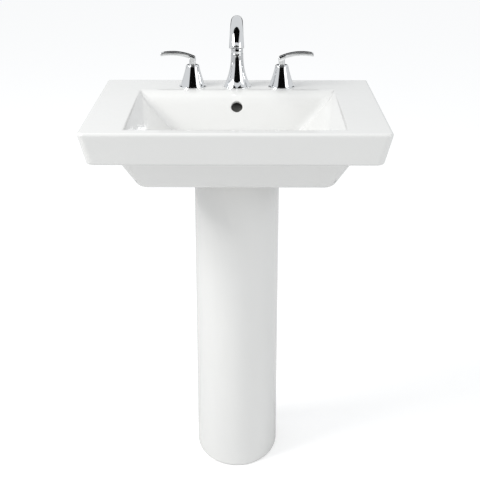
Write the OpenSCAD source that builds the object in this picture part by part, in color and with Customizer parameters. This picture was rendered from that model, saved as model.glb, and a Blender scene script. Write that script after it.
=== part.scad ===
// Pedestal sink: a glazed china basin on an open-backed column, with a three-hole tap set,
// a pop-up drain and a trap. Millimetres, +Z up, +Y towards the wall, +X to the user's right.
// The origin is on the floor, under the middle of the basin's footprint.

/* [Basin] */
// Width of the basin, side to side
basin_w = 610; // [500:1:760]
// Depth of the basin, from its front edge to the wall
basin_d = 508; // [420:1:620]
// Height of the rim above the floor
rim_h = 864; // [700:1:1050]
// Height of the thick upper slab
slab_h = 66; // [54:1:80]
// How far the slab's sides slope inwards from top to bottom
side_taper = 13.5; // [0:0.5:20]
// How far the slab's front slopes inwards from top to bottom
front_taper = 9; // [0:0.5:20]
// Rounding of the slab's edges
edge_r = 7; // [3:0.5:10]
// Rounding of the slab's front corners, seen from above
corner_r = 18; // [10:1:30]
// Thickness of the china walls
china_t = 12; // [9:0.5:14]
// Thickness of the china where the taps stand
deck_t = 16; // [13:0.5:20]
// Height of the sloping body under the slab
apron_h = 84; // [76:1:100]
// Step from the slab's upper edge in to the sloping body, at each side
apron_in_side = 62; // [45:1:80]
// The same step at the front
apron_in_front = 60; // [45:1:80]
// Slope of the body's sides, inwards per unit of height
apron_slope_side = 0.49; // [0.2:0.01:0.7]
// Slope of the body's front, inwards per unit of height
apron_slope_front = 0.79; // [0.3:0.01:0.9]
// Rounding of the body's lower edge
apron_edge_r = 12; // [6:1:20]

/* [Bowl] */
// Width of the flat deck at each side of the bowl
side_deck_w = 87; // [70:1:110]
// Width of the rim in front of the bowl
front_rim_w = 32; // [26:1:45]
// Depth of the flat deck behind the bowl, where the taps stand
tap_deck_d = 108; // [100:1:125]
// Depth of the bowl at the drain
bowl_depth = 122; // [110:1:126]
// Slope of the bowl's side walls, inwards per unit of depth
bowl_slope_side = 1.05; // [0.7:0.01:1.15]
// Slope of the bowl's front wall, inwards per unit of depth
bowl_slope_front = 0.72; // [0.5:0.01:0.8]
// Angle of the back wall below the level deck
back_angle = 54.5; // [45:0.5:65]
// Radius of the bend from the tap deck into the back wall
deck_bend_r = 60; // [40:1:75]
// Depth at which the back wall turns steeper
knee_depth = 73; // [60:1:85]
// Angle of the lower part of the back wall
foot_angle = 78; // [70:1:86]
// Rounding at the foot of the front and back walls
floor_r = 20; // [10:1:24]
// Rounding at the foot of the side walls
floor_side_r = 40; // [20:1:60]
// Diameter of the overflow hole
overflow_d = 25; // [18:0.5:28]
// Depth of the overflow hole's centre below the rim
overflow_depth = 28; // [26:1:34]
// Distance from the wall to the drain's axis
drain_to_wall = 252; // [240:1:256]

/* [Pedestal] */
// Width of the column
column_w = 192; // [170:1:230]
// Distance from the wall to the column's front
column_front_to_wall = 301.5; // [298:0.5:330]
// Length of the column's rounded nose
column_nose = 140; // [100:1:160]
// Distance from the wall to the column's open back
column_back_to_wall = 92; // [80:1:110]
// Thickness of the column's wall
column_t = 13; // [9:0.5:15]
// Width of the lips that turn inwards along the open back
lip_w = 16; // [8:1:24]
// Height of the lug for the floor bolt
lug_h = 20; // [12:1:30]
// Diameter of the floor bolt's hole
floor_bolt_d = 10; // [8:0.5:14]
// Distance between the two wall bolts
wall_bolt_spacing = 280; // [200:1:320]
// Diameter of the wall bolts' holes
wall_bolt_d = 12; // [8:0.5:14]

/* [Taps] */
// Distance between neighbouring taps
tap_spacing = 101.6; // [95:0.1:115]
// Distance from the wall to the line of the taps
tap_to_wall = 74; // [70:1:80]
// Diameter of the thin flange under each tap
flange_d = 63; // [60:0.5:68]
// Height of the spout's base, up to its ring
base_h = 75; // [65:1:90]
// Diameter of the spout's base at its top
base_top_d = 28; // [26:0.5:32]
// Height of the ring between base and spout
ring_h = 12.5; // [8:0.5:16]
// Diameter of the ring
ring_d = 26.8; // [25:0.2:28]
// Radius of the spout's arch, to the middle of the tube
arch_r = 65; // [50:1:80]
// Angle that the arch turns through, up to its outlet
arch_angle = 164; // [140:1:175]
// Diameter of the spout above its ring
neck_d = 24; // [22:0.5:26]
// Diameter of the spout at its outlet
outlet_d = 32.6; // [30:0.2:36]
// Wall of the spout's tube
spout_t = 2.4; // [1.8:0.1:3]
// Height of the bell under each handle
bell_h = 50; // [44:1:58]
// Diameter of the bell at its shoulder
bell_shoulder_d = 31; // [29:0.5:34]
// Wall of the bells and of the spout's base
shell_t = 2.2; // [1.6:0.1:2.6]
// Width of the square post under each lever
post_w = 14; // [12:0.5:16]
// Length of the lever, from the tap's axis to its tip
lever_len = 72; // [55:1:90]
// Width of the lever at its tip
lever_w = 15; // [12:0.5:18]
// Height of the lever's highest point above the deck
lever_top = 79.6; // [75:0.2:90]
// Radius of the lever's arch
lever_arch_r = 120; // [100:1:160]
// Thickness of the lever at its tip
lever_tip_t = 7.8; // [5:0.2:9]
// Thickness of the lever at its post
lever_root_t = 9.2; // [7:0.2:11]
// Diameter of the water inlets' threads
inlet_d = 20.4; // [18:0.1:21]

/* [Pop-up drain] */
// Diameter of the drain's flange
drain_flange_d = 58; // [54:0.5:62]
// Diameter of the drain pipe
pipe_d = 31.75; // [30:0.05:33]
// Wall of the drain pipe
pipe_t = 1.6; // [1:0.1:2.5]
// Travel of the lift rod
lift_travel = 38; // [25:1:45]
// Diameter of the lift rod
rod_d = 4.4; // [3.6:0.1:4.8]
// Distance from the spout's axis back to the lift rod
rod_offset = 23; // [22:0.2:24]
// Depth of the pivot rod below the rim
pivot_depth = 209; // [200:1:225]
// Distance from the drain's axis to the pivot ball
pivot_arm = 27; // [25:0.5:30]
// Radius of the trap's bends, to the middle of the pipe
trap_r = 40; // [36:1:46]
// Height of the trap's outlet pipe above the floor
outlet_h = 545; // [500:1:580]

/* [Clearances] */
// Gap between faces that move past each other
gap = 0.3; // [0.2:0.05:0.5]
// Radial clearance of a turning fit
running = 0.05; // [0.02:0.01:0.1]
// Radial clearance of a nut or washer on its thread
thread_gap = 0.1; // [0.05:0.05:0.3]

/* [Hidden] */
$fn = 64;

front_y = -basin_d / 2;
wall_y = basin_d / 2;
tap_y = wall_y - tap_to_wall;
drain_y = wall_y - drain_to_wall;
column_front_y = wall_y - column_front_to_wall;
column_back_y = wall_y - column_back_to_wall;
body_h = slab_h + apron_h;
column_h = rim_h - body_h;

thin = 0.01;
beyond = 20;
arc_steps = 10;
underside_r = 4;
knee_r = 40;

tap_hole_d = 32;
spout_hole_d = 35;
spout_hole_offset = 8.5;
drain_hole_d = 45;
overflow_duct_w = 36;
overflow_duct_t = 10;
overflow_duct_skin = 8;
tap_boss_d = 56;
seat_margin = 8;
seat_back = 18;

flange_t = 2.4;
gasket_t = 1.4;
gasket_in = 14;
gasket_lip = 1;
shank_d = 17;
shank_bore_d = 10;
spigot_d = 18;
spigot_depth = 14;
neck_rise = 4;
arch_start = base_h + ring_h + neck_rise;
arch_swell = 2.4;
spout_sides = 28;
arch_rings = 22;
tee_depth = 100;
tee_d = 22;
tee_h = 18;
nipple_d = 12.4;
nut_t = 10;
washer_t = 2;

valve_thread_d = 25;
valve_body_d = 30;
valve_top = 24;
valve_outlet_depth = 64;
valve_body_depth = 80;
inlet_len = 24;
outlet_reach = 28;
cartridge_d = 18;
cartridge_top = 30;
stem_d = 8;
stem_top = 62;
bell_crown_r = 5;

hose_d = 10.4;
hose_sides = 12;
hose_rings = 16;
hose_nut_len = 14;
hose_pull = 26;

drain_wall = 2;
drain_bore_d = 31;
drain_tube_depth = 30;
drain_body_len = 105;
flange_plate_t = 2.6;
locknut_t = 10;
ball_d = 12;
port_d = 21;
pin_d = 4.8;
strap_w = 10;
strap_t = 1.6;
pivot_drop = asin(lift_travel / 2 / (tap_y + rod_offset - drain_y - pivot_arm));
stopper_lift = lift_travel * pivot_arm / (tap_y + rod_offset - drain_y - pivot_arm);

// ---------------------------------------------------------------- outlines

// Corners are [x, y, rounding]. A corner with a negative rounding only steers its neighbours.
function point(corner) = [corner[0], corner[1]];
function direction(a, b) = (b - a) / norm(b - a);
function turn_of(u, w) = u[0] * w[1] - u[1] * w[0];
function previous(corners, i) = point(corners[(i + len(corners) - 1) % len(corners)]);
function next(corners, i) = point(corners[(i + 1) % len(corners)]);

// Where the line through p along u meets the line through q along w
function meet(p, u, q, w) =
    p + u * turn_of(q - p, w) / turn_of(u, w);

// The outline moved outwards by g, with its corners still on the same centres
function grown(corners, g) = [
    for (i = [0 : len(corners) - 1])
        let (
            here = point(corners[i]),
            u = direction(previous(corners, i), here),
            w = direction(here, next(corners, i)),
            moved = meet(here + g * [u[1], -u[0]], u, here + g * [w[1], -w[0]], w),
            side = sign(turn_of(u, w)),
            r = corners[i][2]
        )
        [moved[0], moved[1], r > 0 ? max(r + side * g, 0.5) : r]
];

// The outline as points, with each rounded corner as an arc
function rounded(corners) = [
    for (i = [0 : len(corners) - 1])
        let (
            here = point(corners[i]),
            u = direction(previous(corners, i), here),
            w = direction(here, next(corners, i)),
            side = sign(turn_of(u, w)),
            bend = acos(u * w),
            r = corners[i][2],
            first = here - u * r * tan(bend / 2),
            centre = first + side * r * [-u[1], u[0]]
        )
        for (k = [0 : r > 0 ? arc_steps : 0])
            let (a = side * bend * k / arc_steps, v = first - centre)
            if (r >= 0)
                r == 0 ? here : centre + [v[0] * cos(a) - v[1] * sin(a), v[0] * sin(a) + v[1] * cos(a)]
];

// Bowl seen from the side: y to the right, height above the rim upwards
upper_wall_y = wall_y - tap_deck_d - deck_bend_r * tan(back_angle / 2);
knee_y = upper_wall_y - knee_depth / tan(back_angle);
foot_y = knee_y - (bowl_depth - knee_depth) / tan(foot_angle);
bowl_side_view = [
    [front_y + front_rim_w - bowl_slope_front * beyond, beyond, 0],
    [front_y + front_rim_w + bowl_slope_front * bowl_depth, -bowl_depth, floor_r],
    [foot_y, -bowl_depth, floor_r],
    [knee_y, -knee_depth, knee_r],
    [upper_wall_y, 0, deck_bend_r],
    [wall_y - tap_deck_d, 0, -1],
    [wall_y - tap_deck_d, beyond, 0]
];

// Bowl seen from the front: x to the right, height above the rim upwards
bowl_half_w = basin_w / 2 - side_deck_w;
bowl_floor_half_w = bowl_half_w - bowl_slope_side * bowl_depth;
bowl_front_view = [
    [-bowl_half_w - bowl_slope_side * beyond, beyond, 0],
    [-bowl_floor_half_w, -bowl_depth, floor_side_r],
    [bowl_floor_half_w, -bowl_depth, floor_side_r],
    [bowl_half_w + bowl_slope_side * beyond, beyond, 0]
];

// The column seen from above, its wall moved inwards by inset and its back moved out by reach
function column_outline(inset, reach) =
    let (
        a = column_w / 2 - inset,
        b = column_nose - inset,
        centre_y = column_front_y + column_nose
    )
    concat(
        [[a, column_back_y + reach], [-a, column_back_y + reach]],
        [for (t = [180 : 6 : 360]) [a * cos(t), centre_y + b * sin(t)]]
    );

// ---------------------------------------------------------------- shared shapes

// Extrude an outline of y and z along x, centred
module across(width) {
    rotate([90, 0, 90])
        translate([0, 0, -width / 2])
            linear_extrude(width)
                children();
}

// Extrude an outline of x and z along y, between two places
module lengthwise(from_y, to_y) {
    translate([0, to_y, 0])
        rotate([90, 0, 0])
            linear_extrude(to_y - from_y)
                children();
}

// A thin level layer of the basin's plan, drawn in from the sides, the front and the wall
module layer(z, side_in, front_in, back_in, r) {
    x = basin_w / 2 - side_in;
    y0 = front_y + front_in;
    y1 = wall_y - back_in;
    translate([0, 0, z])
        linear_extrude(thin)
            polygon(rounded([[-x, y0, r], [x, y0, r], [x, y1, edge_r], [-x, y1, edge_r]]));
}

module ring(r_out, r_in, h) {
    difference() {
        cylinder(h = h, r = r_out);
        translate([0, 0, -1])
            cylinder(h = h + 2, r = r_in);
    }
}

// A six-sided nut with a round bore; size is measured across its flats
module nut(size, bore_r, h) {
    difference() {
        cylinder(h = h, r = size / 2 / cos(30), $fn = 6);
        translate([0, 0, -1])
            cylinder(h = h + 2, r = bore_r);
    }
}

// A quarter or half turn of pipe in the y-z plane, about the x axis
module pipe_bend(bend_r, r, angle) {
    rotate([0, 0, 90])
        rotate([90, 0, 0])
            rotate_extrude(angle = angle)
                translate([bend_r, 0])
                    circle(r = r);
}

module at_tap(x) {
    translate([x, tap_y, rim_h])
        children();
}

module at_drain() {
    translate([0, drain_y, rim_h - bowl_depth])
        children();
}

// Both sides of a part that is drawn once, for the cold side
module on_side(side) {
    if (side > 0)
        children();
    else
        mirror([1, 0, 0])
            children();
}

// A closed tube from rings of points, all with the same number of points
module skin(rings) {
    n = len(rings[0]);
    last = len(rings) - 1;
    polyhedron(
        points = [for (one = rings) for (p = one) p],
        faces = concat(
            [[for (j = [0 : n - 1]) j]],
            [for (i = [0 : last - 1]) for (j = [0 : n - 1])
                [i * n + j, (i + 1) * n + j, (i + 1) * n + (j + 1) % n, i * n + (j + 1) % n]],
            [[for (j = [n - 1 : -1 : 0]) last * n + j]]
        )
    );
}

// ---------------------------------------------------------------- basin

module slab() {
    hull() {
        for (a = [0 : 22.5 : 90]) {
            in = edge_r * (1 - cos(a));
            layer(rim_h - edge_r * (1 - sin(a)) - thin, in, in, in / 2, corner_r - in / 2);
        }
        for (a = [0 : 30 : 90]) {
            in = underside_r * (1 - cos(a));
            z = rim_h - slab_h + underside_r * (1 - sin(a));
            layer(z, side_taper + in, front_taper + in, 0, corner_r - in / 2);
        }
    }
}

// One level of the sloping body at a height above its foot, its walls drawn in by inset
module apron_layer(above_foot, inset, back_in) {
    down = apron_h - above_foot;
    layer(
        rim_h - body_h + above_foot,
        apron_in_side + apron_slope_side * down + inset,
        apron_in_front + apron_slope_front * down + inset,
        back_in,
        corner_r
    );
}

module apron() {
    hull() {
        apron_layer(apron_h + underside_r, 0, 0);
        for (a = [0 : 30 : 90])
            apron_layer(apron_edge_r * (1 - sin(a)), apron_edge_r * (1 - cos(a)) * 0.7, 0);
    }
}

module bowl_space(g) {
    translate([0, 0, rim_h])
        intersection() {
            across(basin_w)
                polygon(rounded(grown(bowl_side_view, g)));
            lengthwise(front_y, wall_y)
                polygon(rounded(grown(bowl_front_view, g)));
        }
}

// The hollow under the basin, open below
module under_space() {
    hull() {
        layer(rim_h - deck_t - thin, china_t + 2, china_t + 2, china_t, corner_r);
        layer(rim_h - slab_h + china_t, side_taper + china_t, front_taper + china_t, china_t, corner_r);
    }
    hull() {
        apron_layer(apron_h + china_t + 1, china_t * 1.2, china_t);
        apron_layer(-beyond, china_t * 1.2, china_t);
    }
}

// The solid pad under the bowl, on which the column stands
module seat_pad() {
    w = column_w + 2 * seat_margin;
    from_y = column_front_y - seat_margin;
    translate([-w / 2, from_y, rim_h - body_h])
        cube([w, foot_y + seat_back - from_y, body_h - bowl_depth + floor_r]);
}

// Part of the wall between two distances behind the bowl, over a width
module behind_bowl(width, g) {
    translate([0, 0, rim_h])
        across(width)
            polygon(rounded(grown(bowl_side_view, g)));
}

overflow_y = upper_wall_y - overflow_depth / tan(back_angle);

// The duct that carries the overflow down behind the back wall, into the drain hole
module overflow_duct() {
    difference() {
        intersection() {
            behind_bowl(overflow_duct_w, china_t + overflow_duct_t);
            translate([-overflow_duct_w, drain_y, rim_h - body_h])
                cube([2 * overflow_duct_w, basin_d, body_h - overflow_depth + overflow_d / 2]);
        }
        behind_bowl(overflow_duct_w + 2, china_t);
    }
    translate([0, overflow_y, rim_h - overflow_depth])
        rotate([back_angle, 0, 0])
            translate([0, 0, -china_t - overflow_duct_t / 2])
                cylinder(h = china_t + overflow_duct_t + beyond, r = overflow_d / 2);
}

module tap_holes() {
    for (x = [-tap_spacing, tap_spacing])
        at_tap(x)
            translate([0, 0, -body_h])
                cylinder(h = body_h + 1, r = tap_hole_d / 2);
    at_tap(0)
        translate([0, spout_hole_offset, -body_h])
            cylinder(h = body_h + 1, r = spout_hole_d / 2);
}

module wall_bolt_holes() {
    for (x = [-wall_bolt_spacing / 2, wall_bolt_spacing / 2])
        translate([x, wall_y - china_t - 1, rim_h - slab_h / 2])
            rotate([-90, 0, 0])
                cylinder(h = china_t + 2, r = wall_bolt_d / 2);
}

module basin() {
    color("white")
        difference() {
            union() {
                slab();
                apron();
            }
            bowl_space(0);
            difference() {
                under_space();
                bowl_space(china_t);
                seat_pad();
                behind_bowl(
                    overflow_duct_w + 2 * overflow_duct_skin,
                    china_t + overflow_duct_t + overflow_duct_skin
                );
            }
            overflow_duct();
            tap_holes();
            wall_bolt_holes();
            at_drain()
                translate([0, 0, -body_h])
                    cylinder(h = body_h + 5, r = drain_hole_d / 2);
        }
}

// ---------------------------------------------------------------- pedestal

module pedestal() {
    mouth_w = column_w - 2 * column_t - 2 * lip_w;
    lug_y = drain_y + 2 * trap_r;
    color("white") {
        difference() {
            linear_extrude(column_h)
                polygon(column_outline(0, 0));
            translate([0, 0, -1])
                linear_extrude(column_h + 2)
                    polygon(column_outline(column_t, -column_t));
            translate([-mouth_w / 2, column_back_y - column_t - 1, -1])
                cube([mouth_w, column_t + 2, column_h + 2]);
        }
        difference() {
            linear_extrude(lug_h)
                intersection() {
                    polygon(column_outline(column_t / 2, 0));
                    translate([-column_w, lug_y - lip_w])
                        square([2 * column_w, 2 * lip_w]);
                }
            translate([0, lug_y, -1])
                cylinder(h = lug_h + 2, r = floor_bolt_d / 2);
        }
    }
}

// ---------------------------------------------------------------- spout

// Radius of the spout's base at a height above its flange
function base_r(z) =
    let (s = 1 - (z - flange_t) / (base_h - flange_t))
    base_top_d / 2 + (flange_d / 2 - base_top_d / 2 - 1.5) * pow(s, 2.4);

module spout_base() {
    heights = [for (i = [0 : 18]) flange_t + (base_h - flange_t) * i / 18];
    bore_h = spigot_depth + spigot_d / 4;
    hollow_top = base_h - bore_h - shell_t;
    hollow = [for (z = heights) if (z < hollow_top) z];
    color("silver")
        at_tap(0)
            difference() {
                rotate_extrude()
                    polygon(concat(
                        [[0, 0], [flange_d / 2, 0], [flange_d / 2, flange_t / 2]],
                        [for (z = heights) [base_r(z), z]],
                        [[0, base_h]]
                    ));
                rotate_extrude()
                    polygon(concat(
                        [[0, -1], [flange_d / 2 - gasket_lip, -1], [flange_d / 2 - gasket_lip, gasket_t]],
                        [[base_r(flange_t) - shell_t, gasket_t]],
                        [for (z = hollow) [base_r(z) - shell_t, z]],
                        [[base_r(hollow_top) - shell_t, hollow_top], [0, hollow_top]]
                    ));
                translate([0, 0, base_h - spigot_depth])
                    cylinder(h = spigot_depth + 1, r = spigot_d / 2 + running);
                cylinder(h = base_h - spigot_depth - washer_t, r = shank_d / 2);
                cylinder(h = base_h, r = shank_bore_d / 2);
                translate([0, rod_offset, 0])
                    cylinder(h = base_h / 2, r = rod_d / 2 + 2 * gap);
            }
}

module spout_gasket() {
    color("dimgray")
        at_tap(0)
            difference() {
                ring(flange_d / 2 - gasket_lip, gasket_in, gasket_t);
                translate([0, rod_offset, -1])
                    cylinder(h = gasket_t + 2, r = rod_d / 2 + 2 * gap);
            }
}

// The threaded tube that holds the spout down, with a tee for the two hoses at its foot
module spout_shank() {
    top = base_h - spigot_depth - washer_t;
    color("goldenrod")
        at_tap(0)
            difference() {
                union() {
                    translate([0, 0, -tee_depth])
                        cylinder(h = tee_depth + top, r = shank_d / 2);
                    translate([0, 0, -tee_depth - tee_h / 2])
                        cylinder(h = tee_h, r = tee_d / 2);
                    translate([-tee_d, 0, -tee_depth])
                        rotate([0, 90, 0])
                            cylinder(h = 2 * tee_d, r = nipple_d / 2);
                }
                translate([0, 0, -tee_depth])
                    cylinder(h = tee_depth + top + 1, r = shank_bore_d / 2);
                translate([-tee_d - 1, 0, -tee_depth])
                    rotate([0, 90, 0])
                        cylinder(h = 2 * tee_d + 2, r = nipple_d / 4);
            }
}

module spout_washer() {
    color("silver")
        at_tap(0)
            translate([0, 0, -deck_t - washer_t])
                difference() {
                    translate([0, spout_hole_offset / 2, 0])
                        cylinder(h = washer_t, r = spout_hole_d / 2 + 2 * spout_hole_offset / 3 + 5);
                    translate([0, 0, -1])
                        cylinder(h = washer_t + 2, r = shank_d / 2 + thread_gap);
                    translate([0, rod_offset, -1])
                        cylinder(h = washer_t + 2, r = rod_d / 2 + 1);
                }
}

module spout_nut() {
    color("goldenrod")
        at_tap(0)
            translate([0, 0, -deck_t - washer_t - nut_t])
                nut(27, shank_d / 2 + thread_gap, nut_t);
}

// A ring of the tube at an angle round the arch; below angle 0 the neck is straight
arch_y = -arch_r;
function arch_ring(angle, r, sides) = [
    for (k = [0 : sides - 1])
        let (a = 360 * k / sides, out = arch_r + r * sin(a))
        [r * cos(a), arch_y + out * cos(angle), arch_start + out * sin(angle)]
];
function neck_ring(z, r, sides) = [
    for (k = [0 : sides - 1])
        [r * cos(360 * k / sides), r * sin(360 * k / sides), z]
];
function spout_r(angle) = neck_d / 2 + (outlet_d - neck_d) / 2 * pow(angle / arch_angle, arch_swell);

module at_outlet() {
    translate([0, arch_y + arch_r * cos(arch_angle), arch_start + arch_r * sin(arch_angle)])
        rotate([arch_angle, 0, 0])
            children();
}

// The tube from a height in the neck round the arch to past its end, its wall drawn in by inset
module spout_tube(from_z, past, inset) {
    angles = [for (i = [0 : arch_rings]) (arch_angle + past) * i / arch_rings];
    skin(concat(
        [neck_ring(from_z, neck_d / 2 - inset, spout_sides)],
        [for (angle = angles) arch_ring(angle, spout_r(angle) - inset, spout_sides)]
    ));
}

module spout() {
    color("silver")
        at_tap(0)
            difference() {
                union() {
                    translate([0, 0, base_h - spigot_depth + gap])
                        cylinder(h = spigot_depth + ring_h + 3, r = spigot_d / 2);
                    spout_tube(base_h + ring_h, 0, 0);
                }
                translate([0, 0, base_h - spigot_depth - 1])
                    cylinder(h = spigot_depth + ring_h + 4, r = spigot_d / 2 - spout_t);
                spout_tube(base_h + ring_h + 2, 4, spout_t);
            }
}

// The ring that turns with the spout, just above its base
module spout_ring() {
    color("silver")
        at_tap(0)
            translate([0, 0, base_h + gap])
                ring(ring_d / 2, spigot_d / 2, ring_h - gap);
}

aerator_r = outlet_d / 2 - spout_t - 1.8;
aerator_len = 12;

module aerator() {
    color("silver")
        at_tap(0)
            at_outlet() {
                translate([0, 0, -aerator_len])
                    ring(aerator_r, aerator_r - 2.2, aerator_len);
                translate([0, 0, -0.8])
                    ring(outlet_d / 2 - spout_t - 2 * gap, aerator_r - 2.2, 1.6);
            }
}

module aerator_screen() {
    hole_r = 1.3;
    color("gray")
        at_tap(0)
            at_outlet()
                translate([0, 0, -3])
                    difference() {
                        cylinder(h = 2, r = aerator_r - 2.2);
                        for (ring_i = [1 : 2])
                            for (k = [0 : 6 * ring_i - 1])
                                rotate([0, 0, 60 * k / ring_i])
                                    translate([4.1 * ring_i, 0, -1])
                                        cylinder(h = 4, r = hole_r, $fn = 16);
                    }
}

// ---------------------------------------------------------------- handles

// Radius of a handle's bell at a height above its flange
shoulder_h = bell_h - 7;
function bell_r(z) =
    let (s = 1 - (z - flange_t) / (shoulder_h - flange_t))
    bell_shoulder_d / 2 + 12 * pow(s, 1.1);

module bell(side) {
    heights = [for (i = [0 : 12]) flange_t + (shoulder_h - flange_t) * i / 12];
    crown = [for (a = [0 : 15 : 90])
        [bell_shoulder_d / 2 - bell_crown_r * (1 - cos(a)), bell_h - bell_crown_r * (1 - sin(a))]];
    color("silver")
        at_tap(side * tap_spacing)
            difference() {
                rotate_extrude()
                    polygon(concat(
                        [[0, 0], [flange_d / 2, 0], [flange_d / 2, flange_t / 2]],
                        [for (z = heights) [bell_r(z), z]],
                        crown,
                        [[0, bell_h]]
                    ));
                rotate_extrude()
                    polygon(concat(
                        [[0, -1], [flange_d / 2 - 2 * shell_t, -1]],
                        [for (z = heights) [bell_r(z) - shell_t, z - 0.3]],
                        [[bell_shoulder_d / 2 - bell_crown_r, bell_h - shell_t], [0, bell_h - shell_t]]
                    ));
                cylinder(h = bell_h + 1, r = stem_d / 2 + 2 * gap);
            }
}

module valve(side) {
    color("goldenrod")
        on_side(side)
            at_tap(tap_spacing)
                difference() {
                    union() {
                        translate([0, 0, -valve_outlet_depth])
                            cylinder(h = valve_outlet_depth + valve_top, r = valve_thread_d / 2);
                        translate([0, 0, -valve_body_depth])
                            cylinder(h = valve_body_depth - 50, r = valve_body_d / 2);
                        translate([0, 0, -valve_body_depth - inlet_len])
                            cylinder(h = inlet_len + 1, r = inlet_d / 2);
                        translate([-outlet_reach, 0, -valve_outlet_depth])
                            rotate([0, 90, 0])
                                cylinder(h = outlet_reach, r = nipple_d / 2);
                    }
                    translate([0, 0, -valve_body_depth - inlet_len - 1])
                        cylinder(h = valve_body_depth + inlet_len + valve_top + 2, r = inlet_d / 2 - 3);
                    translate([0, 0, -nut_t])
                        cylinder(h = nut_t + valve_top + 1, r = cartridge_d / 2);
                    translate([-outlet_reach - 1, 0, -valve_outlet_depth])
                        rotate([0, 90, 0])
                            cylinder(h = outlet_reach + 1, r = nipple_d / 4);
                }
}

module cartridge(side) {
    color("ivory")
        at_tap(side * tap_spacing)
            difference() {
                translate([0, 0, -nut_t])
                    cylinder(h = nut_t + cartridge_top, r = cartridge_d / 2);
                translate([0, 0, valve_top / 2])
                    cylinder(h = cartridge_top, r = stem_d / 2 + running);
            }
}

module bonnet(side) {
    color("goldenrod")
        at_tap(side * tap_spacing)
            translate([0, 0, valve_top])
                difference() {
                    cylinder(h = 8, r = 12.4, $fn = 6);
                    translate([0, 0, -1])
                        cylinder(h = cartridge_top - valve_top + 1, r = cartridge_d / 2);
                    cylinder(h = 9, r = stem_d / 2 + 1);
                }
}

module valve_washer(side) {
    color("dimgray")
        at_tap(side * tap_spacing)
            translate([0, 0, -deck_t - washer_t])
                ring(tap_hole_d / 2 + 6, valve_thread_d / 2 + thread_gap, washer_t);
}

module valve_nut(side) {
    color("goldenrod")
        at_tap(side * tap_spacing)
            translate([0, 0, -deck_t - washer_t - nut_t])
                nut(36, valve_thread_d / 2 + thread_gap, nut_t);
}

// Height of the lever's upper face at a distance from the tap's axis
lever_apex = lever_len * 0.625;
function lever_height(x) =
    lever_top - lever_arch_r + sqrt(pow(lever_arch_r, 2) - pow(x - lever_apex, 2));
function lever_thickness(x) = lever_root_t + (lever_tip_t - lever_root_t) * max(x, 0) / lever_len;

module handle(side) {
    steps = 16;
    xs = [for (i = [0 : steps]) -post_w / 2 + (lever_len + post_w / 2) * i / steps];
    color("silver")
        on_side(side)
            at_tap(tap_spacing)
                difference() {
                    union() {
                        intersection() {
                            lengthwise(-lever_w, lever_w)
                                polygon(concat(
                                    [for (i = [0 : steps])
                                        [xs[i], lever_height(xs[i]) - lever_thickness(xs[i])]],
                                    [for (i = [steps : -1 : 0]) [xs[i], lever_height(xs[i])]]
                                ));
                            linear_extrude(2 * lever_top)
                                polygon(rounded([
                                    [-post_w / 2, -post_w / 2, 3], [lever_len, -lever_w / 2, 4],
                                    [lever_len, lever_w / 2, 4], [-post_w / 2, post_w / 2, 3]
                                ]));
                        }
                        translate([0, 0, bell_h + gap])
                            linear_extrude(lever_height(0) - lever_root_t / 2 - bell_h)
                                polygon(rounded([
                                    [-post_w / 2, -post_w / 2, 3], [post_w / 2, -post_w / 2, 3],
                                    [post_w / 2, post_w / 2, 3], [-post_w / 2, post_w / 2, 3]
                                ]));
                    }
                    translate([0, 0, bell_h])
                        cylinder(h = stem_top - bell_h, r = stem_d / 2);
                    translate([0, 0, bell_h + 6])
                        rotate([-90, 0, 0])
                            cylinder(h = post_w, r = 2);
                }
}

module stem(side) {
    bottom = valve_top / 2 + gap;
    color("goldenrod")
        at_tap(side * tap_spacing)
            translate([0, 0, bottom])
                cylinder(h = stem_top - bottom, r = stem_d / 2);
}

module set_screw(side) {
    color("dimgray")
        at_tap(side * tap_spacing)
            translate([0, stem_d / 2, bell_h + 6])
                rotate([-90, 0, 0])
                    difference() {
                        cylinder(h = post_w / 2 - stem_d / 2 - 0.4, r = 2);
                        translate([0, 0, 1])
                            cylinder(h = post_w, r = 1, $fn = 6);
                    }
}

// ---------------------------------------------------------------- hoses between valves and spout

// A hose leaves the valve towards the spout, sinks and enters the tee level
hose_from = [tap_spacing - outlet_reach, -valve_outlet_depth];
hose_to = [tee_d, -tee_depth];
hose_bends = [hose_from, hose_from - [hose_pull, 0], hose_to + [hose_pull, 0], hose_to];
function hose_point(t) =
    pow(1 - t, 3) * hose_bends[0] + 3 * t * pow(1 - t, 2) * hose_bends[1]
    + 3 * t * t * (1 - t) * hose_bends[2] + pow(t, 3) * hose_bends[3];
function hose_ring(t) =
    let (
        ahead = hose_point(min(t + 0.001, 1)) - hose_point(max(t - 0.001, 0)),
        u = ahead / norm(ahead)
    )
    [for (k = [0 : hose_sides - 1])
        let (a = 360 * k / hose_sides, p = hose_point(t), r = hose_d / 2)
        [p[0] + r * cos(a) * u[1], r * sin(a), p[1] - r * cos(a) * u[0]]];

module hose(side) {
    color("gainsboro")
        on_side(side)
            at_tap(0)
                skin([for (i = [0 : hose_rings]) hose_ring(i / hose_rings)]);
}

module hose_nut() {
    translate([-hose_nut_len / 2, 0, 0])
        rotate([0, 90, 0])
            difference() {
                cylinder(h = hose_nut_len, r = 9, $fn = 6);
                translate([0, 0, -1])
                    cylinder(h = hose_nut_len + 2, r = nipple_d / 2);
            }
}

module hose_nuts() {
    color("silver")
        for (side = [-1, 1])
            on_side(side) {
                at_tap(tap_spacing - (valve_body_d + hose_nut_len) / 2 - 1)
                    translate([0, 0, hose_from[1]])
                        hose_nut();
                at_tap((tee_d + hose_nut_len) / 2 + 1)
                    translate([0, 0, hose_to[1]])
                        hose_nut();
            }
}

// ---------------------------------------------------------------- pop-up drain

// Height of the pivot ball above the drain's floor level, always negative
pivot_z = bowl_depth - pivot_depth;
body_r = drain_bore_d / 2 + 2 * drain_wall;

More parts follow.
